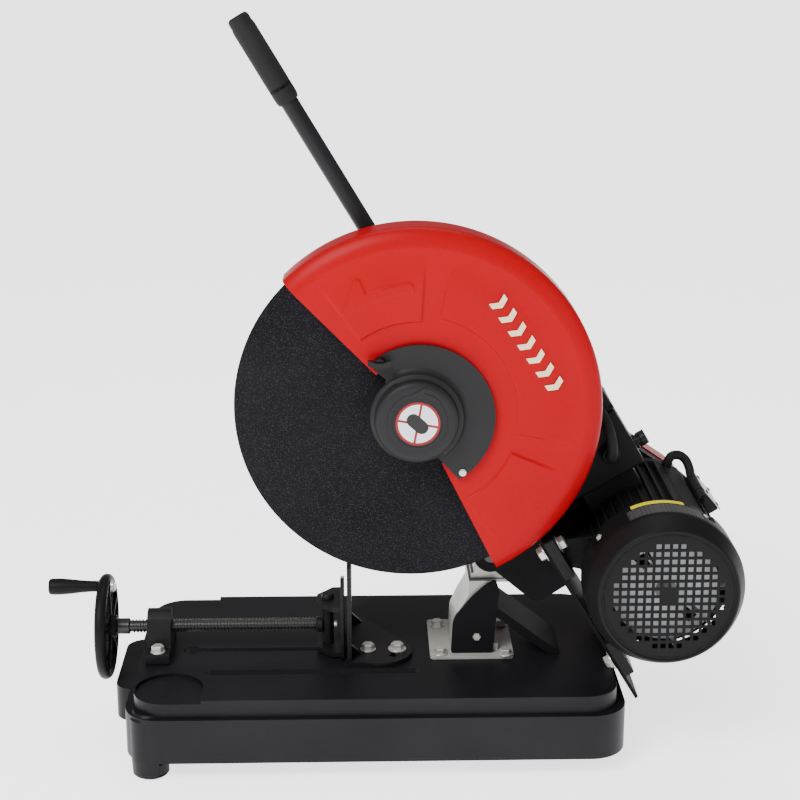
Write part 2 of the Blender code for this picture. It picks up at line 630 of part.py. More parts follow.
def make_motor(black, steel, aluminium, plastic):
    low, high = STATOR_Y
    shell = turned(
        "motor_housing", "Y", (MOTOR_X, MOTOR_Z),
        [(STATOR_R, high), (STATOR_R, low), (SHAFT_R + GAP, low), (SHAFT_R + GAP, low + 6), (STATOR_BORE_R, low + 6),
         (STATOR_BORE_R, high)], black, ring=True, steps=30,
    )
    feet = []
    for name, (start, end) in zip(("upper", "lower"), FOOT_PADS):
        inner_u = 30 if start > 0 else -30
        outer_u = end if start > 0 else start
        rise_u = outer_u - math.copysign(14, outer_u)
        outline = [
            along_mount(start, -MOUNT_DROP + GAP), along_mount(end, -MOUNT_DROP + GAP),
            along_mount(end, -MOUNT_DROP + FOOT_THICK), along_mount(rise_u, -MOUNT_DROP + FOOT_THICK + 2),
            along_mount(inner_u * 2.2, -40), along_mount(inner_u, -68), along_mount(start, -MOUNT_DROP + FOOT_THICK),
        ]
        if start < 0:
            outline = [
                along_mount(start, -MOUNT_DROP + GAP), along_mount(end, -MOUNT_DROP + GAP),
                along_mount(end, -MOUNT_DROP + FOOT_THICK), along_mount(inner_u, -68),
                along_mount(inner_u * 2.2, -40), along_mount(rise_u, -MOUNT_DROP + FOOT_THICK + 2),
                along_mount(start, -MOUNT_DROP + FOOT_THICK),
            ]
        feet.append(plate(f"motor_foot_{name}", "Y", outline, *FOOT_Y, helper=True))
    # A flat pad and a junction box stand on the housing's outer side
    pad = [along_mount(*p) for p in ((-62, 57), (-37, 78), (-42, 62), (-54, 51))]
    junction = [along_mount(*p) for p in ((-19, 76), (-19, 91.5), (9.5, 96), (9.5, 76))]
    feet.append(plate("housing_pad", "Y", pad, 2, 149, helper=True))
    feet.append(plate("junction_box", "Y", junction, 82, 148, helper=True))
    unite(shell, *feet)
    cut(shell, rod("stator_bore", "Y", (MOTOR_X, MOTOR_Z), low + 6, high + 2, STATOR_BORE_R, helper=True, sides=36))
    turned(
        "stator_core", "Y", (MOTOR_X, MOTOR_Z), [(72, 125), (72, 5), (47.5, 5), (47.5, 125)], steel, ring=True,
    )
    turned(
        "motor_rotor", "Y", (MOTOR_X, MOTOR_Z),
        [(0, 210), (SHAFT_R, 210), (SHAFT_R, 132), (30, 132), (47, 122), (47, 8), (30, -2), (SHAFT_R, -2),
         (SHAFT_R, -66), (0, -66)],
        steel,
    )
    turned(
        "drive_end_bell", "Y", (MOTOR_X, MOTOR_Z),
        [(STATOR_R, high + 8), (STATOR_R, high + GAP), (SHAFT_R + GAP, high + GAP), (SHAFT_R + GAP, high + 12),
         (30, high + 12), (34, high + 8)],
        black, ring=True, steps=30,
    )
    fan = turned(
        "cooling_fan", "Y", (MOTOR_X, MOTOR_Z),
        [(SHAFT_R + GAP, -44), (72, -44), (72, -47), (22, -47), (20, -68), (SHAFT_R + GAP, -68)],
        aluminium, ring=True, steps=32,
    )
    blades = []
    for i in range(6):
        turn = 2 * math.pi * i / 6
        blade = box(f"fan_blade_{i}", (20, 70), (-66, -46), (-1.5, 1.5), helper=True)
        centre = at(0, 0, 0)
        spin = Matrix.Translation(at(MOTOR_X, 0, MOTOR_Z)) @ Matrix.Rotation(turn, 4, "Y") @ Matrix.Translation(-centre)
        blade.data.transform(spin)
        blades.append(blade)
    unite(fan, *blades)
    front, back = COWL_Y
    turned(
        "fan_cowl", "Y", (MOTOR_X, MOTOR_Z),
        [(COWL_R, back), (COWL_R, front + 12), (86, front + 4), (78, front), (0, front), (0, front + 2.5),
         (77, front + 2.5), (84, front + 6), (87.5, front + 13), (87.5, back)],
        plastic, ring=True, steps=32,
    )
    make_terminal_box(black, plastic)


def make_terminal_box(black, plastic):
    body = slab("terminal_box", along_mount, (-178, -102), (-50, 50), 46, 126, black)
    neck = slab("terminal_neck", along_mount, (-120, -70), (-34, 34), 56, 118, helper=True)
    rim = rod("terminal_neck_cut", "Y", (MOTOR_X, MOTOR_Z), 0, 150, STATOR_R + GAP, helper=True, sides=60)
    gland = turned(
        "cable_gland", "Y", along_mount(*LEAD_GLAND),
        [(0, 49), (11, 49), (11, 36), (9, LEAD_START_Y), (0, LEAD_START_Y)], helper=True, steps=16,
    )
    unite(body, neck, gland)
    cut(body, rim)
    slab("terminal_box_lid", along_mount, (-201, -178.3), (-51, 51), 45.6, 128, black)
    knob_u, knob_y = -123.0, 66.0
    slanted_rod(
        "switch_knob", along_mount(knob_u, 50.3), along_mount(knob_u, 66), knob_y, 9, plastic, sides=20
    )


# ---------------------------------------------------------------- the belt drive

def make_drive(red, steel, rubber):
    ends = ((0, 0), (MOTOR_X, MOTOR_Z))
    low, high = PULLEY_Y
    for name, centre, radius, bore in (
        ("spindle_pulley", (0, 0), SPINDLE_PULLEY_R, SPINDLE_R),
        ("motor_pulley", (MOTOR_X, MOTOR_Z), MOTOR_PULLEY_R, SHAFT_R),
    ):
        profile = [(bore + GAP, high), (radius, high)]
        for _, start in reversed(BELT_LANES):
            profile += [(radius, start + BELT_WIDTH + GAP), (radius - BELT_THICK, start + BELT_WIDTH + GAP)]
            profile += [(radius - BELT_THICK, start - GAP), (radius, start - GAP)]
        profile += [(radius, low), (bore + GAP, low)]
        turned(name, "Y", centre, profile, steel, ring=True)
    for lane, start in BELT_LANES:
        outer = belt_path(ends, (SPINDLE_PULLEY_R + 1, MOTOR_PULLEY_R + 1))
        inner = belt_path(ends, (SPINDLE_PULLEY_R - BELT_THICK + 1, MOTOR_PULLEY_R - BELT_THICK + 1))
        plate(f"drive_belt_{lane}", "Y", outer, start, start + BELT_WIDTH, rubber, holes=[inner])
    front, back = BELT_CASE_Y
    plate(
        "belt_case_back", "Y", obround(ends, BELT_CASE_R), front, front + 2.5, red,
        holes=[circle(0, 0, 20, 24), circle(MOTOR_X, MOTOR_Z, 16, 24)],
    )
    cover = plate("belt_cover", "Y", obround(ends, BELT_CASE_R), front + 2.5 + GAP, back, red)
    hollow = plate("belt_cover_hollow", "Y", obround(ends, BELT_CASE_R - 2.5), front, back - 2.5, helper=True)
    cut(cover, hollow)


def belt_path(ends, radii):
    """A belt's outline round two pulleys of unlike radius."""
    (ax, az), (bx, bz) = ends
    way = math.atan2(bz - az, bx - ax)
    lean = math.acos((radii[0] - radii[1]) / math.hypot(bx - ax, bz - az))
    return arc(bx, bz, radii[1], way - lean, way + lean, 16) + arc(
        ax, az, radii[0], way + lean, way + 2 * math.pi - lean, 16
    )


# ---------------------------------------------------------------- the vise

def make_vise(black, cast, steel, plastic):
    seat = DECK_Z + GAP
    bracket = plate(
        "screw_bracket", "X",
        softened(
            [(21, seat), (107, seat), (107, -309), (86, -309), (82, -290), (77, -275), (70, -268.5),
             (58, -268.5), (51, -275), (46, -290), (42, -309), (21, -309)], 2, 2,
        ),
        -314, -286, cast, holes=[circle(SCREW_Y, SCREW_Z, SCREW_R + 0.5, 20)],
    )
    holes = [
        rod(f"screw_bracket_hole_{i}", "Z", place, seat - 2, -300, 4.4, sides=12, helper=True)
        for i, place in enumerate(SCREW_BRACKET_BOLTS)
    ]
    cut(bracket, *holes)
    for i, place in enumerate(SCREW_BRACKET_BOLTS, 1):
        bolt_down(f"screw_bracket_bolt_{i}", *place, -309, steel, reach=24, head=(7.5, 7), washer=(8.6, 1.6))
    turned(
        "vise_screw", "X", (SCREW_Y, SCREW_Z),
        [(0, JAW_PIN_X - 8), (5, JAW_PIN_X - 8), (5, JAW_PIN_X - 14), (SCREW_R, JAW_PIN_X - 14),
         (SCREW_R, -336), (9.5, -336), (9.5, -350.5), (6, -350.5), (6, -374), (0, -374)],
        steel, steps=20,
    )
    turned(
        "handwheel", "X", (SCREW_Y, SCREW_Z),
        [(6.3, -351), (13, -351), (14, -362), (49, -359), (54, -357), (59, -357), (HANDWHEEL_R, -360.5),
         (HANDWHEEL_R, -367.5), (59, -371), (54, -371), (49, -366), (14, -371), (13, -376), (6.3, -376)],
        plastic, ring=True, steps=30,
    )
    # The crank's pin goes through the rim, so the rim has a bored hole for it
    cut(
        bpy.data.objects["handwheel"],
        rod("crank_hole", "X", (SCREW_Y, SCREW_Z + CRANK_R), -380, -345, 4.3, helper=True, sides=16),
    )
    turned(
        "crank_pin", "X", (SCREW_Y, SCREW_Z + CRANK_R),
        [(0, -352), (7, -352), (7, -356.5), (4, -356.5), (4, -425), (0, -425)], steel, steps=16,
    )
    turned(
        "crank_grip", "X", (SCREW_Y, SCREW_Z + CRANK_R),
        [(4.3, -371.5), (6.4, -371.5), (7, -385), (8.8, -402), (9.8, -416), (9.6, -429), (8.6, -430),
         (0, -430), (0, -426), (4.3, -426)],
        plastic, ring=True, steps=20,
    )
    make_moving_jaw(black, steel)
    make_fixed_jaw(black, steel)


def make_moving_jaw(black, steel):
    jaw = plate(
        "moving_jaw", "X",
        softened([(27, -320.5), (127, -320.5), (127, -258), (118, -249), (40, -220.5), (32, -220), (27, -226)], 4),
        -83.5, -79.5, black,
    )
    lugs = []
    for name, zs in (("top", (-262, -256)), ("bottom", (-319.5, -313.5))):
        lugs.append(plate(
            f"jaw_lug_{name}", "Z",
            [(-81, 34), (-81, 99), (-93, 99), (-112, 76), (-112, 52), (-93, 34)], *zs, helper=True,
        ))
    bores = rod("jaw_lug_bore", "Z", (JAW_PIN_X, SCREW_Y), -325, -250, 5.4, helper=True, sides=16)
    unite(jaw, *lugs)
    cut(jaw, bores)
    turned(
        "jaw_pin", "Z", (JAW_PIN_X, SCREW_Y),
        [(0, -250), (6, -250), (7.5, -252), (7.5, -255.7), (5, -255.7), (5, -320.5), (4, -320.5), (4, -327.4),
         (9, -327.4), (9, -330), (6, -330), (6, -336), (0, -336)],
        steel, steps=16,
    )
    block = box("screw_block", (JAW_PIN_X - 12, JAW_PIN_X + 9), (SCREW_Y - 9, SCREW_Y + 9), (-299, -280), steel)
    cut(
        block,
        rod("block_pin_bore", "Z", (JAW_PIN_X, SCREW_Y), -303, -276, 5.3, helper=True, sides=16),
        rod("block_screw_bore", "X", (SCREW_Y, SCREW_Z), JAW_PIN_X - 14, JAW_PIN_X - 7.7, 5.3, helper=True, sides=20),
    )


def make_fixed_jaw(black, steel):
    seat = DECK_Z + GAP
    foot = [(-75.5, 15), (-36, 9), (-20, 12), (-5, 25), (2, 42), (1, 58), (-6, 73), (-20, 92), (-70, 168), (-75.5, 172)]
    pivot_x, pivot_y = FIXED_JAW_PIVOT
    reach = FIXED_JAW_LOCK[0] - pivot_x
    sweep = math.radians(36)
    slot = arc(pivot_x, pivot_y, reach + 4.6, -sweep, sweep, 10) + arc(pivot_x, pivot_y, reach - 4.6, sweep, -sweep, 10)
    jaw = plate(
        "fixed_jaw", "Z", softened(foot, 4, 2), seat, seat + 5, black,
        holes=[circle(pivot_x, pivot_y, 4.5, 12), slot],
    )
    wall = plate(
        "jaw_wall", "X", softened([(16, seat), (184, seat), (184, -232), (150, -195), (16, -195)], 6), -75.5, -70.5,
        helper=True,
    )
    gussets = [
        plate(f"jaw_gusset_{i}", "Y", [(-72, seat + 4), (-57, seat + 4), (-72, seat + 18)], y, y + 5, helper=True)
        for i, y in enumerate((36, 132))
    ]
    unite(jaw, wall, *gussets)
    bolt_down("fixed_jaw_pivot_bolt", pivot_x, pivot_y, seat + 5, steel, reach=18, head=(8, 6.5), washer=(9.5, 1.6))
    bolt_down("fixed_jaw_lock_bolt", *FIXED_JAW_LOCK, seat + 5, steel, reach=18, head=(8, 6.5), washer=(11, 2))


# ---------------------------------------------------------------- held cables

def held_cable(name, points, radius, rubber):
    """A cable clipped between two housings, on one smooth curve through its own points."""
    curve = bpy.data.curves.new(name, "CURVE")
    curve.dimensions = "3D"
    curve.bevel_depth = radius * MM
    curve.bevel_resolution = 2
    curve.use_fill_caps = True
    route = smooth_route(points)
    spline = curve.splines.new("POLY")
    spline.points.add(len(route) - 1)
    for point, place in zip(spline.points, route):
        point.co = (*at(*place), 1)
    cable = bpy.data.objects.new(name, curve)
    parts.objects.link(cable)
    curve.materials.append(rubber)
    return cable


def smooth_route(points, steps=3):
    """Catmull-Rom points through the given ones."""
    path = [Vector(p) for p in points]
    path = [2 * path[0] - path[1], *path, 2 * path[-1] - path[-2]]
    made = []
    for i in range(1, len(path) - 2):
        a, b, c, d = path[i - 1: i + 3]
        for k in range(steps):
            t = k / steps
            made.append(0.5 * (2 * b + (c - a) * t + (2 * a - 5 * b + 4 * c - d) * t**2 + (3 * b - a - 3 * c + d) * t**3))
    return [*made, path[-2]]


def make_cables(rubber):
    gland_x, gland_z = along_mount(*LEAD_GLAND)
    held_cable(
        "motor_lead",
        [(gland_x, LEAD_START_Y - GAP, gland_z), (gland_x, 26, gland_z + 1), (gland_x, 22, gland_z + 12),
         (gland_x - 4, 25, gland_z + 32), (gland_x - 12, 34, gland_z + 50), (206, 37, -4), (186, 37, 3),
         (164, 37, -3), (143, 38, -24), (127, 45, -47), (120, 57, -74), (117, 60, -88.8), (109.2, 60, -89.9)],
        LEAD_R, rubber,
    )
    loop = [(-49.9, 68.0, 140), (-54.0, 72.9, 140), (-56.5, 79.5, 142), (-52, 87.5, 144), (-43, 91.5, 143),
            (-33, 90.2, 137), (-28, 87.2, 125), (-27.5, 86.4, 100), (-27.5, 86.4, 72), (-27.5, 86.4, 40)]
    route = []
    for u, n, y in loop:
        x, z = along_mount(u, n)
        route.append((x, y, z))
    held_cable("motor_conduit", route, CONDUIT_R, rubber)


def parent_to_axes():
    """Empties on the joints' axes, for the pieces that move."""
    groups = {
        "rocking_arm_axis": ((PIVOT_X, 80, PIVOT_Z), ARM_PIECES),
        "spindle_axis": ((0, 0, 0), SPINDLE_PIECES),
        "motor_axis": ((MOTOR_X, 0, MOTOR_Z), MOTOR_PIECES),
        "vise_screw_axis": ((-200, SCREW_Y, SCREW_Z), SCREW_PIECES),
        "crank_axis": ((-400, SCREW_Y, SCREW_Z + CRANK_R), ("crank_grip",)),
        "moving_jaw_axis": ((JAW_PIN_X, SCREW_Y, -290), ("moving_jaw",)),
        "fixed_jaw_axis": ((*FIXED_JAW_PIVOT, DECK_Z), ("fixed_jaw",)),
        "hub_cover_axis": ((HUB_SCREW[0], -30, HUB_SCREW[1]), ("hub_cover",)),
        "wing_nut_axis": ((WING_NUT[0], -30, WING_NUT[1]), ("hub_wing_nut",)),
    }
    for name, (place, members) in groups.items():
        axis = bpy.data.objects.new(name, None)
        parts.objects.link(axis)
        axis.location = at(*place)
        bpy.context.view_layer.update()
        for member in members:
            piece = bpy.data.objects[member]
            piece.parent = axis
            piece.matrix_parent_inverse = axis.matrix_world.inverted()


ARM_PIECES = (
    "rocking_arm", "pivot_shaft", "handle_tube", "handle_grip", "spindle_housing", "spindle_bearing_front",
    "spindle_bearing_rear", "disc_guard", "hub_hinge_screw", "motor_housing", "stator_core", "drive_end_bell",
    "fan_cowl", "terminal_box", "terminal_box_lid", "motor_lead", "motor_conduit", "drive_belt_front",
    "drive_belt_rear", "belt_case_back", "belt_cover",
)
SPINDLE_PIECES = ("spindle_shaft", "inner_flange", "outer_flange", "spindle_nut", "cutting_disc", "spindle_pulley")
MOTOR_PIECES = ("motor_rotor", "cooling_fan", "motor_pulley")
SCREW_PIECES = ("vise_screw", "handwheel", "crank_pin")


def main():
    clear_scene()
    black = material("black_paint", (0.025, 0.025, 0.027), 0.45)
    cast = material("cast_black", (0.03, 0.03, 0.032), 0.6)
    grey = material("light_grey_plate", (0.62, 0.62, 0.6), 0.4, 0.3)
    red = material("red_paint", (0.62, 0.02, 0.02), 0.25)
    dark = material("dark_grey_cover", (0.05, 0.05, 0.055), 0.5)
    steel = material("steel", (0.55, 0.55, 0.55), 0.3, 1.0)
    aluminium = material("aluminium", (0.75, 0.75, 0.75), 0.4, 1.0)
    rubber = material("rubber", (0.02, 0.02, 0.02), 0.8)
    plastic = material("black_plastic", (0.03, 0.03, 0.03), 0.4)
    grit = material("abrasive", (0.02, 0.02, 0.02), 0.95)
    make_base(black, rubber, steel, plastic)
    make_pedestal(grey, black, steel)
    make_arm(black, steel)
    make_spindle(black, steel, grit)
    make_guard(red, dark, black, steel)
    make_motor(black, steel, aluminium, plastic)
    make_drive(red, steel, rubber)
    make_vise(black, cast, steel, plastic)
    make_cables(rubber)
    parent_to_axes()


main()
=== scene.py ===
"""Looks of the abrasive chop saw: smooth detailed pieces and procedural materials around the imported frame.

Lengths are in millimetres from the centre of the cutting disc: X to the right, Y away from the
viewer, Z up.
"""

from math import atan2, cos, degrees, hypot, pi, radians, sin

import bmesh
import bpy
from mathutils import Matrix, Vector


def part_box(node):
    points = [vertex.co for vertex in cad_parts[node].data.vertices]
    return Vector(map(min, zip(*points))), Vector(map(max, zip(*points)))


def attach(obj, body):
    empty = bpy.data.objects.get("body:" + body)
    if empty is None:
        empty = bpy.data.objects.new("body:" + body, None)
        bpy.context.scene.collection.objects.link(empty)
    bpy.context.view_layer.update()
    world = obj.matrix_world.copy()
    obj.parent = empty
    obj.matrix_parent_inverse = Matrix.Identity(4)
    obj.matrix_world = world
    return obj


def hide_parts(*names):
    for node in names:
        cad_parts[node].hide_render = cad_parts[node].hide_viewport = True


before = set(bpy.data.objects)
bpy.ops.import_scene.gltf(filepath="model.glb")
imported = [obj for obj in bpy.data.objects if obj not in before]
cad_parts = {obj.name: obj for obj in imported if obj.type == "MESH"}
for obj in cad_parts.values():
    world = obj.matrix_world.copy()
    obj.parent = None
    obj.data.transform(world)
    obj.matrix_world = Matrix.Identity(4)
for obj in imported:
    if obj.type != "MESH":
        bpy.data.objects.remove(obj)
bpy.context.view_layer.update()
MM = 0.001
low_corner, high_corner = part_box("cutting_disc")
DISC_CENTRE = (low_corner + high_corner) / 2

# Driving sizes, as in the CAD model
DECK_Z, TRAY_Z, SKIRT_Z, FLOOR_Z, SHEET = -322.0, -343.0, -397.0, -420.0, 5.0
TRAY_X, TRAY_Y, TRAY_CORNER_R = (-321.0, 236.0), (-75.0, 231.0), 38.0
SKIRT_X, SKIRT_Y, SKIRT_CORNER_R = (-331.0, 246.0), (-82.0, 238.0), 42.0
BULGE_X, BULGE_Y, BULGE_Z, BULGE_CORNER_R = (-350.0, -290.0), (6.0, 150.0), (-386.0, -345.0), 22.0
LEG_PLACES = (("front", -301.0, -56.0), ("rear", -301.0, 212.0))
LEG_R, LEG_WALL, FOOT_R = 24.0, 4.0, 19.5
CORNER_PADS, PAD_R = ((-280.0, -40.0), (-280.0, 196.0)), 36.0
WHEEL_R, WHEEL_WIDTH, WHEEL_X, AXLE_R = 32.0, 26.0, 196.0, 6.0
BRACKET_BOLTS = ((35.0, 38.0), (35.0, 121.0), (112.6, 34.0), (112.6, 121.0))
SCREW_BRACKET_BOLTS = ((-300.0, 31.0), (-300.0, 97.0))
FIXED_JAW_PIVOT, FIXED_JAW_LOCK = (-51.0, 49.0), (-16.0, 49.0)
GUARD_X, GUARD_Z, GUARD_R = 4.0, -1.5, 209.3
GUARD_FRONT, GUARD_BACK = -27.0, 28.0
GUARD_FROM, GUARD_TO = radians(-63.5), radians(134.5)
HUB_SCREW, WING_NUT, HUB_CENTRE = (55.7, -67.2), (-37.0, 60.7), (4, -3)
MOTOR_X, MOTOR_Z, MOUNT_ANGLE, MOUNT_DROP = 283.0, -195.0, radians(-59.0), 97.0
MOTOR_AXIS = (MOTOR_X, MOTOR_Z)
STATOR_R, STATOR_Y = 84.0, (-18.0, 150.0)
FOOT_BOLT_U, FOOT_THICK = 80.0, 13.0
COWL_R, COWL_Y = 90.0, (-90.0, -19.0)
SCREW_Y, SCREW_Z, SCREW_R, SCREW_PITCH, CRANK_R = 64.0, -289.5, 8.0, 4.0, 51.5
SCREW_AXIS, CRANK_AXIS, JAW_PIN_X = (SCREW_Y, SCREW_Z), (SCREW_Y, SCREW_Z + CRANK_R), -99.0
BELT_ENDS, BELT_CASE_R, BELT_CASE_BACK = ((0, 0), MOTOR_AXIS), 76, 235
HANDLE_Y, HANDLE_FOOT, HANDLE_DIRECTION = 50.0, (64.0, 6.0), (-0.515, 0.857)
TURN, HALF, QUARTER = 2 * pi, pi, pi / 2
UP = (0, 0, 1)

# The camera and lights, from the photo
CAMERA_PLACE, CAMERA_PITCH, CAMERA_YAW = (-60.2, -1886.3, 553.1), radians(16.09), radians(1.41)
FOCAL_LENGTH, SENSOR_WIDTH = 78.75, 36.0
FLOOR_REACH, FLOOR_GLOW, SKY_STRENGTH = 40.0, 2.0, 0.32
SUN_STRENGTH, SUN_ANGLE, SUN_WAY = 2.5, radians(35), (0.45, 0.62, -0.8)
LAMPS = (
    ("key", (-1100, -1500, 1500), 0.9, 26),
    ("fill", (1700, -1100, 600), 0.8, 3),
    ("top", (100, 700, 1900), 1.2, 14),
)


def at(x, y, z):
    return DISC_CENTRE + Vector((x, y, z)) * MM


# ---- materials


def put(node, **values):
    """Sets the node's inputs, with _ for a space in a name."""
    for name, value in values.items():
        node.inputs[name.replace("_", " ")].default_value = value


def surface(name, colour, rough, spread, grain, relief, metallic=0.0, depth=0.0003, gloss=0.3):
    """A Principled material whose colour, roughness and relief vary with fine and broad noise."""
    made = bpy.data.materials.new(name)
    made.use_nodes = True
    nodes, links = made.node_tree.nodes, made.node_tree.links
    shader = nodes["Principled BSDF"]
    put(shader, Metallic=metallic, Specular_IOR_Level=gloss)
    place = nodes.new("ShaderNodeTexCoord")
    fine = nodes.new("ShaderNodeTexNoise")
    put(fine, Scale=grain, Detail=4)
    broad = nodes.new("ShaderNodeTexNoise")
    put(broad, Scale=9, Detail=5)
    for noise in (fine, broad):
        links.new(place.outputs["Object"], noise.inputs["Vector"])
    ramp = nodes.new("ShaderNodeValToRGB")
    ramp.color_ramp.elements[0].position = 0.3
    ramp.color_ramp.elements[1].position = 0.72
    ramp.color_ramp.elements[0].color = (*(c * (1 - spread) for c in colour), 1)
    ramp.color_ramp.elements[1].color = (*(min(1, c * (1 + spread) + 0.001) for c in colour), 1)
    blend = nodes.new("ShaderNodeMix")
    put(blend, Factor=0.35)
    links.new(broad.outputs["Fac"], blend.inputs["A"])
    links.new(fine.outputs["Fac"], blend.inputs["B"])
    links.new(blend.outputs["Result"], ramp.inputs["Fac"])
    links.new(ramp.outputs["Color"], shader.inputs["Base Color"])
    sheen = nodes.new("ShaderNodeMapRange")
    put(sheen, To_Min=max(0.04, rough - 0.1), To_Max=min(1, rough + 0.1))
    links.new(blend.outputs["Result"], sheen.inputs["Value"])
    links.new(sheen.outputs["Result"], shader.inputs["Roughness"])
    bump = nodes.new("ShaderNodeBump")
    put(bump, Strength=relief, Distance=depth)
    links.new(fine.outputs["Fac"], bump.inputs["Height"])
    links.new(bump.outputs["Normal"], shader.inputs["Normal"])
    return made


def speckled(name, colour, fleck, grain, share, rough, relief, depth):
    """A rough material with scattered flecks, as on a bonded abrasive."""
    made = surface(name, colour, rough, 0.5, grain, relief, depth=depth, gloss=0.1)
    nodes, links = made.node_tree.nodes, made.node_tree.links
    shader = nodes["Principled BSDF"]
    base = shader.inputs["Base Color"].links[0].from_socket
    cells = nodes.new("ShaderNodeTexVoronoi")
    put(cells, Scale=grain)
    place = nodes["Texture Coordinate"]
    links.new(place.outputs["Object"], cells.inputs["Vector"])
    pick = nodes.new("ShaderNodeSeparateColor")
    links.new(cells.outputs["Color"], pick.inputs["Color"])
    chosen = nodes.new("ShaderNodeMath")
    chosen.operation = "LESS_THAN"
    chosen.inputs[1].default_value = share
    links.new(pick.outputs["Red"], chosen.inputs[0])
    mix = nodes.new("ShaderNodeMix")
    mix.data_type = "RGBA"
    colours = [socket for socket in mix.inputs if socket.type == "RGBA"]
    colours[1].default_value = (*fleck, 1)
    links.new(chosen.outputs["Value"], mix.inputs["Factor"])
    links.new(base, colours[0])
    result = [socket for socket in mix.outputs if socket.type == "RGBA"][0]
    links.new(result, shader.inputs["Base Color"])
    return made


def brushed(name, colour, rough, stretch, metallic=1.0):
    """Machined metal with fine lines across the stretched axis."""
    made = surface(name, colour, rough, 0.18, 240, 0.12, metallic, 0.0002)
    nodes, links = made.node_tree.nodes, made.node_tree.links
    place = nodes["Texture Coordinate"]
    fine = nodes["Noise Texture"]
    scale = nodes.new("ShaderNodeMapping")
    put(scale, Scale=stretch)
    links.new(place.outputs["Object"], scale.inputs["Vector"])
    links.new(scale.outputs["Vector"], fine.inputs["Vector"])
    return made


# Each has its colour, roughness, spread of colour, size of grain and relief
black_paint = surface("powder_black", (0.008, 0.008, 0.009), 0.42, 0.3, 1100, 0.25, gloss=0.17)
deck_paint = surface("deck_black", (0.008, 0.008, 0.0095), 0.42, 0.35, 900, 0.3, gloss=0.12)
cast_black = surface("cast_black", (0.0065, 0.0065, 0.007), 0.5, 0.35, 420, 0.5, depth=0.0006, gloss=0.15)
red_paint = surface("gloss_red", (0.34, 0.0003, 0.005), 0.3, 0.05, 260, 0.05, depth=0.0002, gloss=0.06)
case_red = surface("case_red", (0.28, 0.0005, 0.005), 0.33, 0.08, 300, 0.06, gloss=0.06)
cover_grey = surface("cover_grey", (0.0135, 0.0135, 0.0145), 0.5, 0.2, 1300, 0.3, gloss=0.16)
plate_grey = surface("plated_grey", (0.42, 0.42, 0.39), 0.4, 0.16, 160, 0.08, metallic=0.25)
plastic = surface("moulded_black", (0.006, 0.006, 0.0065), 0.4, 0.25, 800, 0.2, gloss=0.2)
satin_plastic = surface("satin_black", (0.006, 0.006, 0.0065), 0.48, 0.2, 1000, 0.12, gloss=0.09)
arm_paint = surface("arm_black", (0.007, 0.007, 0.008), 0.6, 0.3, 900, 0.3, gloss=0.05)
rubber = surface("rubber_black", (0.009, 0.009, 0.009), 0.6, 0.3, 700, 0.4, gloss=0.15)
belt_rubber = surface("belt_rubber", (0.012, 0.011, 0.01), 0.8, 0.35, 500, 0.5)
zinc = brushed("bright_zinc", (0.6, 0.59, 0.54), 0.34, (1, 1, 6), metallic=0.6)
steel = brushed("turned_steel", (0.36, 0.36, 0.36), 0.3, (1, 8, 1))
dark_steel = brushed("oiled_steel", (0.045, 0.043, 0.042), 0.34, (6, 1, 1), metallic=0.8)
aluminium = surface("fan_alloy", (0.62, 0.63, 0.64), 0.5, 0.12, 350, 0.15, metallic=0.1)
core_steel = brushed("core_steel", (0.2, 0.2, 0.21), 0.4, (1, 40, 1))
grit = speckled("bonded_grit", (0.008, 0.0075, 0.0095), (0.032, 0.031, 0.037), 1500, 0.12, 0.9, 0.9, 0.0012)
cream = surface("cream_print", (0.8, 0.66, 0.42), 0.4, 0.05, 300, 0.04)
white_print = surface("white_print", (0.72, 0.73, 0.78), 0.35, 0.04, 400, 0.03)
red_print = surface("red_print", (0.26, 0.002, 0.005), 0.35, 0.08, 400, 0.03)
black_print = surface("black_print", (0.008, 0.008, 0.008), 0.35, 0.2, 400, 0.03)
yellow_print = surface("yellow_print", (0.68, 0.58, 0.01), 0.4, 0.08, 400, 0.04, gloss=0.15)
grey_print = surface("grey_print", (0.05, 0.05, 0.05), 0.5, 0.3, 500, 0.1)
silver = brushed("silver_plate", (0.5, 0.5, 0.5), 0.4, (1, 7, 1), metallic=0.6)


# ---- shapes

FACING = {
    "X": Matrix(((0, 0, 1), (1, 0, 0), (0, 1, 0))).to_4x4(),
    "Y": Matrix(((1, 0, 0), (0, 0, -1), (0, 1, 0))).to_4x4(),
    "Z": Matrix.Identity(4),
}
ALONG = {
    "X": Matrix.Rotation(QUARTER, 4, "Y"),
    "Y": Matrix.Rotation(-QUARTER, 4, "X"),
    "Z": Matrix.Identity(4),
}


def link(name, data):
    made = bpy.data.objects.new(name, data)
    bpy.context.scene.collection.objects.link(made)
    return made


def cleaned(mesh):
    work = bmesh.new()
    work.from_mesh(mesh)
    bmesh.ops.remove_doubles(work, verts=work.verts, dist=2e-6)
    bmesh.ops.recalc_face_normals(work, faces=work.faces)
    work.to_mesh(mesh)
    work.free()
    return mesh


def evaluated(thing):
    """The mesh that the object's modifiers or curve settings give."""
    bpy.context.view_layer.update()
    graph = bpy.context.evaluated_depsgraph_get()
    return bpy.data.meshes.new_from_object(thing.evaluated_get(graph))


def baked(thing):
    """Applies the object's modifiers and its place to its mesh."""
    mesh = evaluated(thing)
    mesh.transform(thing.matrix_world)
    thing.modifiers.clear()
    thing.data = mesh
    thing.matrix_world = Matrix.Identity(4)
    return thing


def rounded(thing, width, segments=2, angle=35):
    """Rounds the sharp edges."""
    bevel = thing.modifiers.new("Rounding", "BEVEL")
    bevel.width = width * MM
    bevel.segments = segments
    bevel.limit_method = "ANGLE"
    bevel.angle_limit = radians(angle)
    return baked(thing)


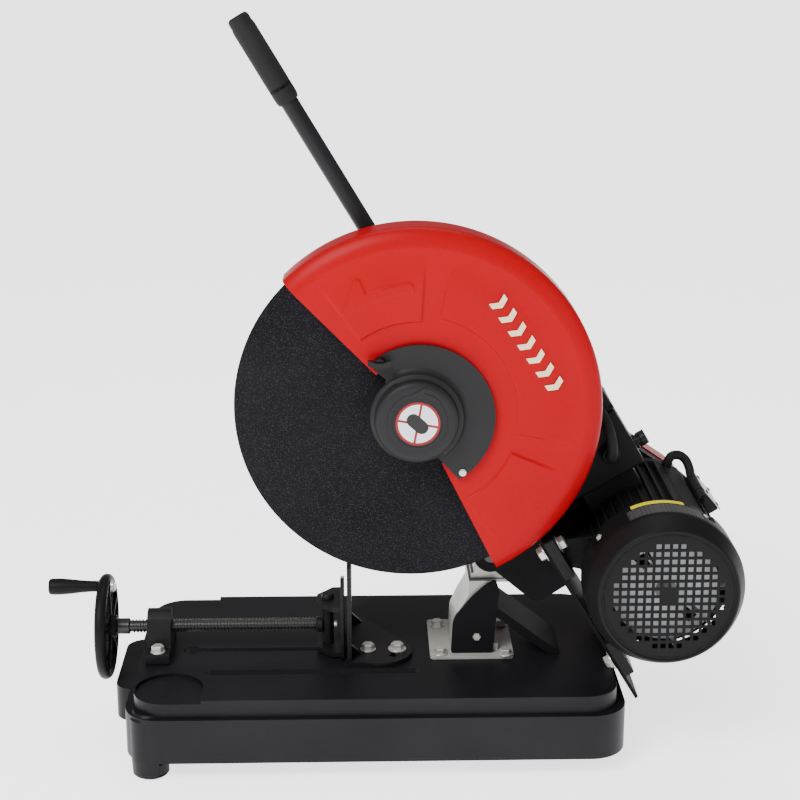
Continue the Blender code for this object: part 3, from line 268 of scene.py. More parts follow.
def dress(thing, paint, body, slot, *replaced, sharp=32):
    """Paints a finished piece and lets it ride on its body."""
    thing.data.materials.clear()
    thing.data.materials.append(paint)
    thing.data.shade_smooth()
    thing.data.set_sharp_from_angle(angle=radians(sharp))
    evened = thing.modifiers.new("Even shading", "WEIGHTED_NORMAL")
    evened.keep_sharp = True
    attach(thing, body)
    if replaced:
        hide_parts(*replaced)
    return thing


def arc(x, z, radius, start, end, steps):
    turn = (end - start) / steps
    return [
        (x + radius * cos(start + turn * i), z + radius * sin(start + turn * i))
        for i in range(steps + 1)
    ]


def circle(x, z, radius, steps=48):
    return arc(x, z, radius, 0, TURN * (steps - 1) / steps, steps - 1)


def obround(ends, radius, steps=24):
    (ax, az), (bx, bz) = ends
    way = atan2(bz - az, bx - ax)
    return arc(bx, bz, radius, way - QUARTER, way + QUARTER, steps) + arc(
        ax, az, radius, way + QUARTER, way + 3 * QUARTER, steps
    )


def rounded_rectangle(xs, ys, radius, inset=0.0, steps=14):
    left, right, near, far = xs[0] + radius, xs[1] - radius, ys[0] + radius, ys[1] - radius
    points = []
    for i, (x, y) in enumerate(((right, far), (left, far), (left, near), (right, near))):
        points += arc(x, y, radius - inset, i * QUARTER, (i + 1) * QUARTER, steps)
    return points


def plate(name, facing, outline, low, high, holes=()):
    """A flat outline, with holes, as thick as from low to high along its facing axis."""
    curve = bpy.data.curves.new(name + "_outline", "CURVE")
    curve.dimensions = "2D"
    curve.fill_mode = "BOTH"
    curve.extrude = (high - low) / 2 * MM
    for ring in (outline, *holes):
        spline = curve.splines.new("POLY")
        spline.points.add(len(ring) - 1)
        for point, (across, up) in zip(spline.points, ring):
            point.co = (across * MM, up * MM, 0, 1)
        spline.use_cyclic_u = True
    guide = link(name + "_guide", curve)
    middle = (low + high) / 2
    offset = {"X": (middle, 0, 0), "Y": (0, middle, 0), "Z": (0, 0, middle)}[facing]
    guide.matrix_world = Matrix.Translation(at(*offset)) @ FACING[facing]
    mesh = evaluated(guide)
    mesh.transform(guide.matrix_world)
    bpy.data.objects.remove(guide)
    return link(name, cleaned(mesh))


def box(name, xs, ys, zs):
    outline = [(xs[0], ys[0]), (xs[1], ys[0]), (xs[1], ys[1]), (xs[0], ys[1])]
    return plate(name, "Z", outline, *zs)


def lathe(name, axis, centre, profile, steps=72, start=0.0, sweep=TURN, ring=False):
    """A profile of (radius, distance along the axis) turned about the axis. A part turn gets end faces."""
    whole = sweep >= TURN - 1e-6
    count = len(profile)
    mesh = bpy.data.meshes.new(name)
    points = []
    turns = steps if whole else steps + 1
    for i in range(turns):
        angle = start + sweep * i / steps
        points += [(r * MM * cos(angle), r * MM * sin(angle), h * MM) for r, h in profile]
    faces = []
    spans = count if ring else count - 1
    for i in range(steps):
        a, b = i * count, ((i + 1) % turns) * count
        for j in range(spans):
            k = (j + 1) % count
            faces.append((a + j, b + j, b + k, a + k))
    if not whole and ring:
        faces.append(tuple(range(count)))
        faces.append(tuple(range((turns - 1) * count, turns * count))[::-1])
    mesh.from_pydata(points, [], faces)
    place = list(centre)
    place.insert("XYZ".index(axis), 0)
    mesh.transform(Matrix.Translation(at(*place)) @ ALONG[axis])
    return link(name, cleaned(mesh))


def drum(name, axis, centre, low, high, radius, steps=72):
    """A plain round cutter."""
    return lathe(name, axis, centre, [(0, high), (radius, high), (radius, low), (0, low)], steps)


def shifted(profile, offset):
    """A lathe profile moved along its axis."""
    return [(r, offset + along) for r, along in profile]


def rod(name, axis, centre, low, high, radius, edge=0.6, steps=48):
    """A round bar with softened ends."""
    return lathe(
        name, axis, centre,
        [(0, high), (radius - edge, high), (radius, high - edge), (radius, low + edge), (radius - edge, low),
         (0, low)], steps,
    )


def tube(name, points, radius):
    """A round bar along given points, in millimetres from the disc's centre."""
    curve = bpy.data.curves.new(name, "CURVE")
    curve.dimensions = "3D"
    curve.bevel_depth = radius * MM
    curve.bevel_resolution = 6
    curve.use_fill_caps = True
    spline = curve.splines.new("POLY")
    spline.points.add(len(points) - 1)
    for point, place in zip(spline.points, points):
        point.co = (*at(*place), 1)
    guide = link(name + "_guide", curve)
    mesh = evaluated(guide)
    bpy.data.objects.remove(guide)
    return link(name, cleaned(mesh))


def smooth_route(points, steps=8):
    """Catmull-Rom points through the given ones."""
    path = [Vector(p) for p in points]
    path = [2 * path[0] - path[1], *path, 2 * path[-1] - path[-2]]
    made = []
    for i in range(1, len(path) - 2):
        a, b, c, d = path[i - 1: i + 3]
        for k in range(steps):
            t = k / steps
            cubic = (3 * b - a - 3 * c + d) * t**3
            made.append(0.5 * (2 * b + (c - a) * t + (2 * a - 5 * b + 4 * c - d) * t**2 + cubic))
    return [*made, path[-2]]


def combined(target, others, operation):
    """Joins helper solids to the target, or cuts them out of it, and removes them."""
    for other in others:
        step = target.modifiers.new("Boolean", "BOOLEAN")
        step.operation = operation
        step.solver = "EXACT"
        step.object = other
    baked(target)
    for other in others:
        bpy.data.objects.remove(other)
    return target


def cut(target, *others):
    return combined(target, others, "DIFFERENCE")


def joined(name, pieces):
    """One object from several, with overlapping solids left as they are."""
    work = bmesh.new()
    for piece in pieces:
        copy = piece.data
        copy.transform(piece.matrix_world)
        work.from_mesh(copy)
        bpy.data.objects.remove(piece)
    mesh = bpy.data.meshes.new(name)
    work.to_mesh(mesh)
    work.free()
    return link(name, mesh)


def refined(node, paint, body, slot, width=0.6, segments=2):
    """The CAD node's own shape with its facets merged and its edges rounded."""
    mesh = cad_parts[node].data.copy()
    work = bmesh.new()
    work.from_mesh(mesh)
    bmesh.ops.remove_doubles(work, verts=work.verts, dist=1e-5)
    bmesh.ops.dissolve_limit(work, angle_limit=radians(1), verts=work.verts, edges=work.edges)
    work.to_mesh(mesh)
    work.free()
    made = link(node + "_finished", mesh)
    rounded(made, width, segments, 40)
    return dress(made, paint, body, slot, node)


def along_mount(u, n):
    """A point u down the motor's mounting plane and n out from the motor's shaft, as (X, Z)."""
    down = (cos(MOUNT_ANGLE), sin(MOUNT_ANGLE))
    return (MOTOR_X + u * down[0] - n * down[1], MOTOR_Z + u * down[1] + n * down[0])


def mounted(places):
    return [along_mount(u, n) for u, n in places]


def slab(name, us, ns, low, high):
    corners = mounted(((us[0], ns[0]), (us[1], ns[0]), (us[1], ns[1]), (us[0], ns[1])))
    return plate(name, "Y", corners, low, high)


def lean(thing, start, way):
    """Moves a piece built along +Z from the disc's centre so that it starts at a place and runs that way."""
    turn = Vector((0, 0, 1)).rotation_difference(Vector(way).normalized()).to_matrix().to_4x4()
    thing.data.transform(Matrix.Translation(at(*start)) @ turn @ Matrix.Translation(-at(0, 0, 0)))
    return thing


def hex_bolt(
    name, body, start, way, head_r, head_h, washer_r, washer_h, *replaced, shank=(4.0, 14.0), paint=None
):
    """A bolt with a chamfered hexagon head and a washer, standing on a face."""
    head = lathe(
        name + "_head", "Z", (0, 0),
        [(0, washer_h + head_h), (head_r * 0.82, washer_h + head_h), (head_r, washer_h + head_h - 1.1),
         (head_r, washer_h), (0, washer_h)], 6,
    )
    washer = lathe(
        name + "_washer", "Z", (0, 0),
        [(0, washer_h), (washer_r - 0.4, washer_h), (washer_r, washer_h - 0.4), (washer_r, 0.35),
         (0, 0.35)], 36,
    )
    stem = rod(name + "_stem", "Z", (0, 0), -shank[1], 0.5, shank[0] - 0.1, steps=20)
    made = lean(joined(name, [head, washer, stem]), start, way)
    return dress(made, paint or zinc, body, "steel", *replaced, sharp=25)


# ---- the base


def smoothstep(value):
    value = max(0.0, min(1.0, value))
    return value * value * (3 - 2 * value)


def block(name, xs, ys, radius, low, high, inset=0.0):
    """A solid with round upright corners, smaller by the inset at its sides and its top."""
    return plate(name, "Z", rounded_rectangle(xs, ys, radius, inset), low, high - inset)


def make_base():
    skirt_plan = (SKIRT_X, SKIRT_Y, SKIRT_CORNER_R)
    tray_plan = (TRAY_X, TRAY_Y, TRAY_CORNER_R)
    bulge_plan = (BULGE_X, BULGE_Y, BULGE_CORNER_R)
    skirt = rounded(block("base_skirt", *skirt_plan, SKIRT_Z, TRAY_Z), 4, 4)
    tray = rounded(block("base_tray", *tray_plan, TRAY_Z - 2, DECK_Z), 6, 5)
    bulge = rounded(block("base_bulge", *bulge_plan, *BULGE_Z), 9, 4)
    # Corner columns flow into the skirt, and a proud hem runs round its lower edge
    legs = [
        lathe(
            f"leg_{end}", "Z", (x, y),
            [(0, DECK_Z - 18), (LEG_R - 5, DECK_Z - 18), (LEG_R, DECK_Z - 26), (LEG_R, -395),
             (LEG_R - 0.6, -400), (LEG_R - 1.5, -417.5), (LEG_R - 2.5, -418.5), (0, -418.5)], 48,
        )
        for end, x, y in LEG_PLACES
    ]
    pads = [
        plate(f"pad_{end}", "Z", rounded_rectangle((-318.5, -235), ys, 36), DECK_Z - 14, DECK_Z - 2)
        for end, ys in (("front", (-72.5, 6)), ("rear", (150, 228.5)))
    ]
    combined(skirt, (tray, bulge, *pads, *legs), "UNION")
    holes = [
        block("skirt_hollow", *skirt_plan, SKIRT_Z - 30, TRAY_Z, SHEET),
        block("tray_hollow", *tray_plan, TRAY_Z - 2 * SHEET, DECK_Z - 4, SHEET),
        block("bulge_hollow", *bulge_plan, BULGE_Z[0] - 1, BULGE_Z[1], SHEET),
        plate("disc_slot", "Z", obround(((-234, 0), (3, 0)), 7), DECK_Z - 12, DECK_Z + 2),
        plate("guide_slot", "Z", obround(((-262, 64), (-92, 64)), 5), DECK_Z - 12, DECK_Z + 2),
        drum("guide_hole", "Z", (-262, 64), DECK_Z - 12, DECK_Z + 2, 11),
    ]
    # Each left corner of the deck is pressed down inside an arc
    for i, ((x, y), side) in enumerate(zip(CORNER_PADS, (1, -1))):
        reach = PAD_R + 3
        outline = arc(x, y, reach, 0, side * HALF, 40)
        outline += [(x - 80, y), (x - 80, y - side * 60), (x + reach, y - side * 60)]
        dip = plate(f"pad_dip_{i}", "Z", outline, DECK_Z - 4.2, DECK_Z + 8)
        holes.append(rounded(dip, 2, 3, 60))
    for end, x, y in LEG_PLACES:
        holes.append(drum(f"leg_bore_{end}", "Z", (x, y), -421, TRAY_Z - 12, LEG_R - LEG_WALL, 48))
    cut(skirt, *holes)
    brackets = [
        plate(
            f"axle_bracket_{end}", "Y", [(176, DECK_Z - 4), (182, -396), (210, -396), (216, DECK_Z - 4)],
            y, y + 4, holes=[circle(WHEEL_X, WHEEL_R + FLOOR_Z, AXLE_R + 0.3, 24)],
        )
        for end, y in (("front", 16.0), ("rear", 136.0))
    ]
    rounded(skirt, 0.7, 2, 50)
    # Two dark plates under the deck, just behind its slots, are painted shade: they hide the bright floor
    # through the slots, where the base's inside lies in shadow
    ribs = [
        box("painted_shade_plate_guide", (-300, -70), (84, 87), (DECK_Z - 40, DECK_Z - 2)),
        box("painted_shade_plate_disc", (-250, 20), (24, 27), (DECK_Z - 40, DECK_Z - 2)),
    ]
    shell = joined("base_shell", [skirt, *brackets, *ribs])
    dress(shell, deck_paint, "base", "black_paint", "base_frame", sharp=28)
    for end, x, y in LEG_PLACES:
        foot = lathe(
            f"rubber_foot_{end}", "Z", (x, y),
            [(0, -404), (FOOT_R, -404), (FOOT_R, -416), (FOOT_R - 1, -417), (FOOT_R, -418),
             (FOOT_R - 1.5, -420), (9, -420), (8, -417), (0, -417)], 48,
        )
        dress(foot, rubber, "base", "rubber", f"foot_{end}")
    half = WHEEL_WIDTH / 2
    one_side = [
        (AXLE_R + 0.3, half), (12, half), (13, half - 4), (22, half - 5), (24, half - 1), (WHEEL_R - 3, half),
        (WHEEL_R - 0.6, half - 2), (WHEEL_R, half - 5),
    ]
    section = one_side + [(radius, -along) for radius, along in reversed(one_side)]
    for end, y in (("front", -6.0), ("rear", 162.0)):
        wheel = lathe(
            f"transport_wheel_{end}", "Y", (WHEEL_X, WHEEL_R + FLOOR_Z), shifted(section, y), ring=True
        )
        dress(wheel, plastic, f"wheel_{end}", "black_plastic", f"wheel_{end}")
    axle = rod("transport_axle", "Y", (WHEEL_X, WHEEL_R + FLOOR_Z), -20, 176, AXLE_R)
    dress(axle, zinc, "base", "steel", "wheel_axle")


# ---- pedestal, arm and handle


def make_pedestal():
    refined("pedestal", plate_grey, "base", "grey_paint", 1.2, 3)
    refined("arm_stop", arm_paint, "base", "black_paint", 0.8, 2)
    refined("pivot_yoke", plate_grey, "base", "black_paint", 1.2, 3)
    for i, (x, y) in enumerate(BRACKET_BOLTS, 1):
        hex_bolt(f"base_bolt_{i}", "base", (x, y, DECK_Z + 4.3), UP, 7.5, 6, 9, 1.6, f"pedestal_bolt_{i}")
    for i, (x, y) in enumerate(SCREW_BRACKET_BOLTS, 1):
        hex_bolt(
            f"nut_bolt_{i}", "base", (x, y, -309), UP, 7.5, 7, 8.6, 1.6, f"screw_bracket_bolt_{i}",
            shank=(4, 20),
        )
    for part, place, washer in (("pivot", FIXED_JAW_PIVOT, (9.5, 1.6)), ("lock", FIXED_JAW_LOCK, (11, 2))):
        hex_bolt(
            f"jaw_bolt_{part}", "base", (*place, DECK_Z + 5.3), UP, 8, 6.5, *washer,
            f"fixed_jaw_{part}_bolt", shank=(4, 16),
        )
    cheek = (78.7, 38, -296.5)
    hex_bolt("cheek_bolt", "base", cheek, (0, -1, 0), 5, 2.4, 0.5, 0.1, "stop_bolt", shank=(3.8, 6))


def make_arm():
    refined("rocking_arm", arm_paint, "arm", "black_paint", 0.9, 2)
    shaft = rod("pivot_pin", "Y", (94, -191), 31.5, 129, 10, 1.2)
    dress(shaft, dark_steel, "arm", "steel", "pivot_shaft")
    housing = lathe(
        "bearing_tube", "Y", (0, 0),
        [(35, 165.7), (36, 164.7), (36, 32), (35, 31), (31.3, 31), (31.3, 165.7)], ring=True,
    )
    dress(housing, cast_black, "arm", "black_paint", "spindle_housing")
    for side, u in (("upper", -FOOT_BOLT_U), ("lower", FOOT_BOLT_U)):
        for end, y in (("front", 10), ("rear", 130)):
            for kind, n, way in (("head", -MOUNT_DROP - 4, -1), ("nut", -MOUNT_DROP + FOOT_THICK, 1)):
                x, z = along_mount(u, n)
                ahead = along_mount(u, n + way)
                hex_bolt(
                    f"motor_{kind}_{side}_{end}", "arm", (x, y, z), (ahead[0] - x, 0, ahead[1] - z),
                    8.6, 7, 11.5, 2, shank=(4, 5),
                )


def make_handle():
    way = (HANDLE_DIRECTION[0], 0, HANDLE_DIRECTION[1])
    foot = (HANDLE_FOOT[0], HANDLE_Y, HANDLE_FOOT[1])
    bar = rod("pull_tube", "Z", (0, 0), 0, 486, 10, 0.8, 64)
    dress(lean(bar, foot, way), black_paint, "arm", "black_paint", "handle_tube")
    ribs = []
    for i in range(3):
        start = 395 + i * 5.2
        ribs += [(13.2, start + 4.4), (12.5, start + 3.6), (12.5, start + 1.2), (13.2, start + 0.4)]
    profile = [(0, 492), (9, 492), (11.5, 490.5), (12.4, 487), (12.4, 481), (12.9, 479.5), (13.3, 476),
               (13.3, 430), (13.3, 412)]
    profile += ribs[::-1]
    profile += [(13.3, 394), (13, 389), (11.6, 385), (10.3, 385), (10.3, 487.3), (0, 487.3)]
    grip = lathe("hand_grip", "Z", (0, 0), profile)
    dress(lean(grip, foot, way), rubber, "arm", "rubber", "handle_grip", sharp=40)


# ---- disc and spindle


def make_disc():
    half = 1.6
    disc = lathe(
        "abrasive_disc", "Y", (0, 0),
        [(16.3, half), (199.2, half), (200, half - 0.6), (200, -half + 0.6), (199.2, -half), (16.3, -half)],
        160, ring=True,
    )
    dress(disc, grit, "spindle", "abrasive", "cutting_disc")
    for node in ("spindle_shaft", "spindle_nut"):
        refined(node, steel, "spindle", "steel", 0.5, 2)
    for node in ("inner_flange", "outer_flange"):
        refined(node, arm_paint, "spindle", "steel", 0.5, 2)
    refined("spindle_pulley", aluminium, "spindle", "aluminium", 0.5, 1)
    refined("motor_pulley", aluminium, "rotor", "aluminium", 0.5, 1)
    for lane in ("front", "rear"):
        refined(f"drive_belt_{lane}", belt_rubber, "arm", "rubber", 0.8, 1)
        refined(f"spindle_bearing_{lane}", steel, "arm", "steel", 0.5, 1)


# ---- the guard

PANELS = ((87.0, 126.0, 106.0), (-11.5, 77.0, 113.0), (-59.0, -23.0, 115.0))
ARROW = (
    (-78, 114), (-64, 153), (-59, 152), (-52, 137), (-28, 145), (-4, 149), (1, 145), (1, 138), (-30, 132),
    (-56, 121),
)


def inside_depth(x, z, outline):
    """How far a point is inside an outline: negative outside it."""
    nearest, within = 1e9, False
    for (ax, az), (bx, bz) in zip(outline, outline[1:] + outline[:1]):
        t = ((x - ax) * (bx - ax) + (z - az) * (bz - az)) / ((bx - ax) ** 2 + (bz - az) ** 2)
        t = max(0.0, min(1.0, t))
        nearest = min(nearest, hypot(x - ax - t * (bx - ax), z - az - t * (bz - az)))
        if (az > z) != (bz > z) and x < (bx - ax) * (z - az) / (bz - az) + ax:
            within = not within
    return nearest if within else -nearest


def guard_relief(radius, angle):
    """How far the pressed panels and the arrow stand out of the guard's face."""
    bearing = degrees(angle)
    relief = 0.0
    fade = 1 - smoothstep((radius - 140) / 42)
    for start, end, inner in PANELS:
        across = min(bearing - start, end - bearing) * pi / 180 * radius
        depth = min(across, radius - inner)
        relief += 2.3 * smoothstep(depth / 2.8 + 0.5) * fade
    x = GUARD_X + radius * cos(angle)
    z = GUARD_Z + radius * sin(angle)
    if -90 < x < 12 and 100 < z < 165:
        edge = inside_depth(x, z, ARROW)
        relief += 1.1 * smoothstep(edge / 1.8 + 0.5)
    return relief


def make_guard():
    inner_r, edge_r = 64.0, 189.0
    turns, rings = 420, 96
    # Past the face, the section rolls over the rim and runs down the back
    rolled = shifted(((194, 3.9), (200, 6.4), (205, 9.6), (208, 13), (GUARD_R, 17)), GUARD_FRONT)
    rolled += shifted(((GUARD_R, -2), (208.3, -0.4), (206, 0), (150, 0), (40, 0)), GUARD_BACK)
    mesh = bpy.data.meshes.new("guard_face")
    points, faces = [], []
    for i in range(turns + 1):
        angle = GUARD_FROM + (GUARD_TO - GUARD_FROM) * i / turns
        for j in range(rings + 1):
            radius = inner_r + (edge_r - inner_r) * j / rings
            y = GUARD_FRONT + 3.2 - guard_relief(radius, angle)
            points.append((radius, y, angle))
        points += [(radius, y, angle) for radius, y in rolled]
    row = rings + 1 + len(rolled)
    for i in range(turns):
        for j in range(row - 1):
            a = i * row + j
            faces.append((a, a + 1, a + row + 1, a + row))
    mesh.from_pydata(
        [tuple(at(GUARD_X + r * cos(t), y, GUARD_Z + r * sin(t))) for r, y, t in points], [], faces
    )
    guard = link("guard_shell", cleaned(mesh))
    wall = guard.modifiers.new("Sheet", "SOLIDIFY")
    wall.thickness = 2.0 * MM
    wall.offset = -1
    wall.use_even_offset = True
    baked(guard)
    dress(guard, red_paint, "arm", "red_paint", "disc_guard", sharp=40)
    make_guard_marks()


def make_guard_marks():
    """Plain cream chevrons where the real guard has a printed name."""
    start, end = Vector((93, 127)), Vector((156, 34))
    way = (end - start).normalized()
    side = Vector((-way.y, way.x))
    count = 7
    for i in range(count):
        middle = start + (end - start) * i / (count - 1)
        outline = []
        for along, across in ((-4, -10), (3, -10), (8, 0), (3, 10), (-4, 10), (1, 0)):
            outline.append(tuple(middle + way * along + side * across))
        mark = plate(f"guard_mark_{i + 1}", "Y", outline, GUARD_FRONT + 0.2, GUARD_FRONT + 0.75)
        dress(mark, cream, "arm", "red_paint")


def make_hub_cover():
    front = GUARD_FRONT
    outline = arc(7.5, -4, 84, GUARD_FROM + 0.09, GUARD_TO - 0.02, 60)
    outline += [(-30, 41), (-32, 30), (-34, -4), (-12, -34), (24, -46), (30, -52)]
    flange = plate(
        "hub_flange", "Y", outline, front - 3.6, front - 0.4, holes=[circle(*HUB_SCREW, 2.8, 24)]
    )
    notch = plate("hub_notch", "Y", obround((WING_NUT, (-52, 49.8)), 3.2), front - 8, front + 3)
    pocket = drum("hub_pocket", "Y", HUB_CENTRE, front - 20, front + 2, 41)
    cut(flange, notch, pocket)
    rounded(flange, 0.9, 3)
    dome = lathe(
        "hub_dome", "Y", HUB_CENTRE,
        shifted([
            (41, -0.4), (52, -0.4), (52, -3), (51.4, -5.2), (50, -6.4), (47.6, -7), (46.8, -8), (46.4, -18),
            (45, -21.6), (42, -23.4), (38, -24), (0, -24), (0, -20), (41, -20),
        ], front), 120, ring=True,
    )
    face = front - 24
    arrow = plate(
        "hub_arrow", "Y",
        [(-3, 29), (14, 38), (12, 30.6), (22, 27.5), (30, 20), (27.4, 18), (20, 24), (11.6, 26.8), (11, 25)],
        face - 0.8, face + 0.5,
    )
    rounded(arrow, 0.35, 2)
    fillet = lathe(
        "hub_fillet", "Y", HUB_CENTRE,
        shifted([(50, -3.2), (58, -3.4), (55.5, -4.4), (53, -7), (51.6, -11), (47.4, -13), (46, -13)], front),
        60, radians(-118), radians(172), ring=True,
    )
    step = lathe(
        "hub_step", "Y", HUB_CENTRE,
        shifted([(27.5, 0.2), (33.4, 0.2), (33, -0.5), (28, -0.5)], face), 96, ring=True,
    )
    cover = joined("hub_shell", [flange, dome, fillet, step])
    dress(cover, cover_grey, "hub_cover", "dark_cover", "hub_cover", sharp=40)
    dress(arrow, cover_grey, "hub_cover", "dark_cover")
    make_hub_label(face)
    x, z = HUB_SCREW
    screw = lathe(
        "hub_pin", "Y", (x, z),
        shifted([
            (0, 6), (2.4, 6), (2.4, -4.1), (4.3, -4.1), (4.3, -5), (3.4, -6.1), (2, -6.5), (0, -6.5),
        ], front), 36,
    )
    slots = []
    for i, (wide, high) in enumerate(((3, 0.5), (0.5, 3))):
        corners = [(x - wide, z - high), (x + wide, z - high), (x + wide, z + high), (x - wide, z + high)]
        slots.append(plate(f"hub_pin_slot_{i}", "Y", corners, front - 8, front - 5.8))
    cut(screw, *slots)
    dress(screw, zinc, "arm", "steel", "hub_hinge_screw")
    refined("hub_wing_nut", plastic, "hub_wing_nut", "black_plastic", 0.8, 3)


def make_hub_label(face):
    """A plain round sign: a red ring and cross on white, with a dark shape that shows nothing."""
    x, z = 4.7, -4.0
    field = lathe("sign_field", "Y", (x, z), shifted([(0, -0.25), (22.4, -0.25), (22.4, 0), (0, 0)], face))
    dress(field, white_print, "hub_cover", "dark_cover")
    section = shifted([(22, 0), (24.7, 0), (24.7, -0.4), (22, -0.4)], face)
    ring = lathe("sign_ring", "Y", (x, z), section, ring=True)
    dress(ring, red_print, "hub_cover", "dark_cover")
    for i, turn in enumerate((radians(80), radians(-10))):
        ax, az = cos(turn), sin(turn)
        wide, reach = 1.3, 22
        corners = [
            (x + end * reach * ax - side * wide * az, z + end * reach * az + side * wide * ax)
            for end, side in ((-1, 1), (1, 1), (1, -1), (-1, -1))
        ]
        bar = plate(f"sign_bar_{i + 1}", "Y", corners, face - 0.4, face - 0.1)
        dress(bar, red_print, "hub_cover", "dark_cover")
    blob = plate("sign_shape", "Y", obround(((x - 5, z + 4), (x + 4, z - 4)), 7.5), face - 0.55, face - 0.2)
    dress(blob, black_print, "hub_cover", "dark_cover")


# ---- the motor


def make_cowl():
    front, back = COWL_Y
    cone = shifted([
        (COWL_R, 26), (COWL_R - 0.6, 22.5), (88, 19), (84, 10), (80.6, 3.6), (79.6, 1.6), (78.4, 0.4),
        (77, 0), (75.8, 0.5), (75.2, 1.8), (75.2, 4), (78, 5), (82, 12), (86, 21), (87.4, 27),
    ], front)
    profile = [(COWL_R - 1.5, back), (COWL_R, back - 1.5), *cone, (87.4, back)]
    cowl = lathe("cowl_shell", "Y", MOTOR_AXIS, profile, 120, ring=True)
    # Four dished seats hold the screws that fix the cowl to the motor
    seats = []
    for i in range(4):
        turn = radians(56 + 90 * i)
        x, z = MOTOR_X + 97 * cos(turn), MOTOR_Z + 97 * sin(turn)
        dish = shifted([(0, 1), (12, 1), (12, -22), (0, -40)], back)
        seats.append(lathe(f"cowl_seat_{i}", "Y", (x, z), dish, 48))
        sx, sz = MOTOR_X + 85.6 * cos(turn), MOTOR_Z + 85.6 * sin(turn)
        hex_bolt(
            f"cowl_screw_{i + 1}", "arm", (sx, back - 9, sz), (cos(turn), 0, sin(turn)),
            3.4, 2.2, 4.2, 0.6, shank=(1.8, 4),
        )
    cut(cowl, *seats)
    dress(cowl, satin_plastic, "arm", "black_plastic", "fan_cowl", sharp=38)
    pitch, hole = 9.1, 5.9
    half_counts = (2, 4, 5, 6, 6, 7, 7, 7, 7, 6, 6, 5, 4, 2)
    holes = []
    for row, half_count in enumerate(half_counts):
        z = (row - 6.5) * pitch
        for column in range(-half_count, half_count):
            x = (column + 0.5) * pitch
            if max(abs(x), abs(z)) < 1.3 * pitch:
                continue
            cx, cz, h = MOTOR_X + x, MOTOR_Z + z, hole / 2
            holes.append([(cx - h, cz - h), (cx + h, cz - h), (cx + h, cz + h), (cx - h, cz + h)])
    grille = plate("cowl_grille", "Y", circle(*MOTOR_AXIS, 76, 96), front + 1.2, front + 2.8, holes=holes)
    dress(grille, satin_plastic, "arm", "black_plastic")
    ring = lathe(
        "cowl_ring", "Y", MOTOR_AXIS,
        shifted([(71.4, 1.9), (72.2, 1.2), (73.4, 1.2), (74.2, 1.9)], front), 120, ring=True,
    )
    dress(ring, satin_plastic, "arm", "black_plastic")
    # A yellow strip over a grey plate, both wrapped on the cowl's shoulder
    for name, start, end, ys, paint in (
        ("cowl_strip", 75, 114, (back - 12, back - 2.5), yellow_print),
        ("cowl_plate", 63, 118, (back - 41, back - 14.5), grey_print),
    ):
        sticker = lathe(
            name, "Y", MOTOR_AXIS,
            [(COWL_R, ys[1]), (COWL_R - 0.15, ys[1]), (COWL_R - 0.15, ys[0]), (COWL_R, ys[0])],
            40, radians(-end), radians(end - start), ring=True,
        )
        dress(sticker, paint, "arm", "black_plastic")


def radial_web(name, reach, ys, turn):
    """A thin flat web beside the motor's axis, turned about it."""
    web = box(name, reach, ys, (-1.2, 1.2))
    spin = Matrix.Translation(at(MOTOR_X, 0, MOTOR_Z)) @ Matrix.Rotation(turn, 4, "Y")
    web.data.transform(spin @ Matrix.Translation(-at(0, 0, 0)))
    return web


def make_fan():
    """A pierced front disc with vanes behind it."""
    section = [(12.3, -44), (21, -44), (22, -62), (61, -62), (61, -64), (20.5, -64), (19.5, -67.4),
               (18.5, -68), (12.3, -68)]
    hub = lathe("fan_wheel", "Y", MOTOR_AXIS, section, 96, ring=True)
    openings = []
    for i, turn in enumerate((2.2, 5.5)):
        outline = arc(*MOTOR_AXIS, 50, turn - 0.2, turn + 0.2, 8)
        outline += arc(*MOTOR_AXIS, 34, turn + 0.22, turn - 0.22, 8)
        openings.append(plate(f"fan_opening_{i}", "Y", outline, -66, -60))
    cut(hub, *openings)
    vanes = 9
    blades = [radial_web(f"fan_vane_{i}", (21, 71), (-62.5, -46), TURN * i / vanes) for i in range(vanes)]
    dress(joined("fan_impeller", [hub, *blades]), aluminium, "rotor", "black_plastic", "cooling_fan")
    refined("motor_rotor", core_steel, "rotor", "core_steel", 0.5, 1)
    refined("stator_core", core_steel, "arm", "core_steel", 0.5, 1)


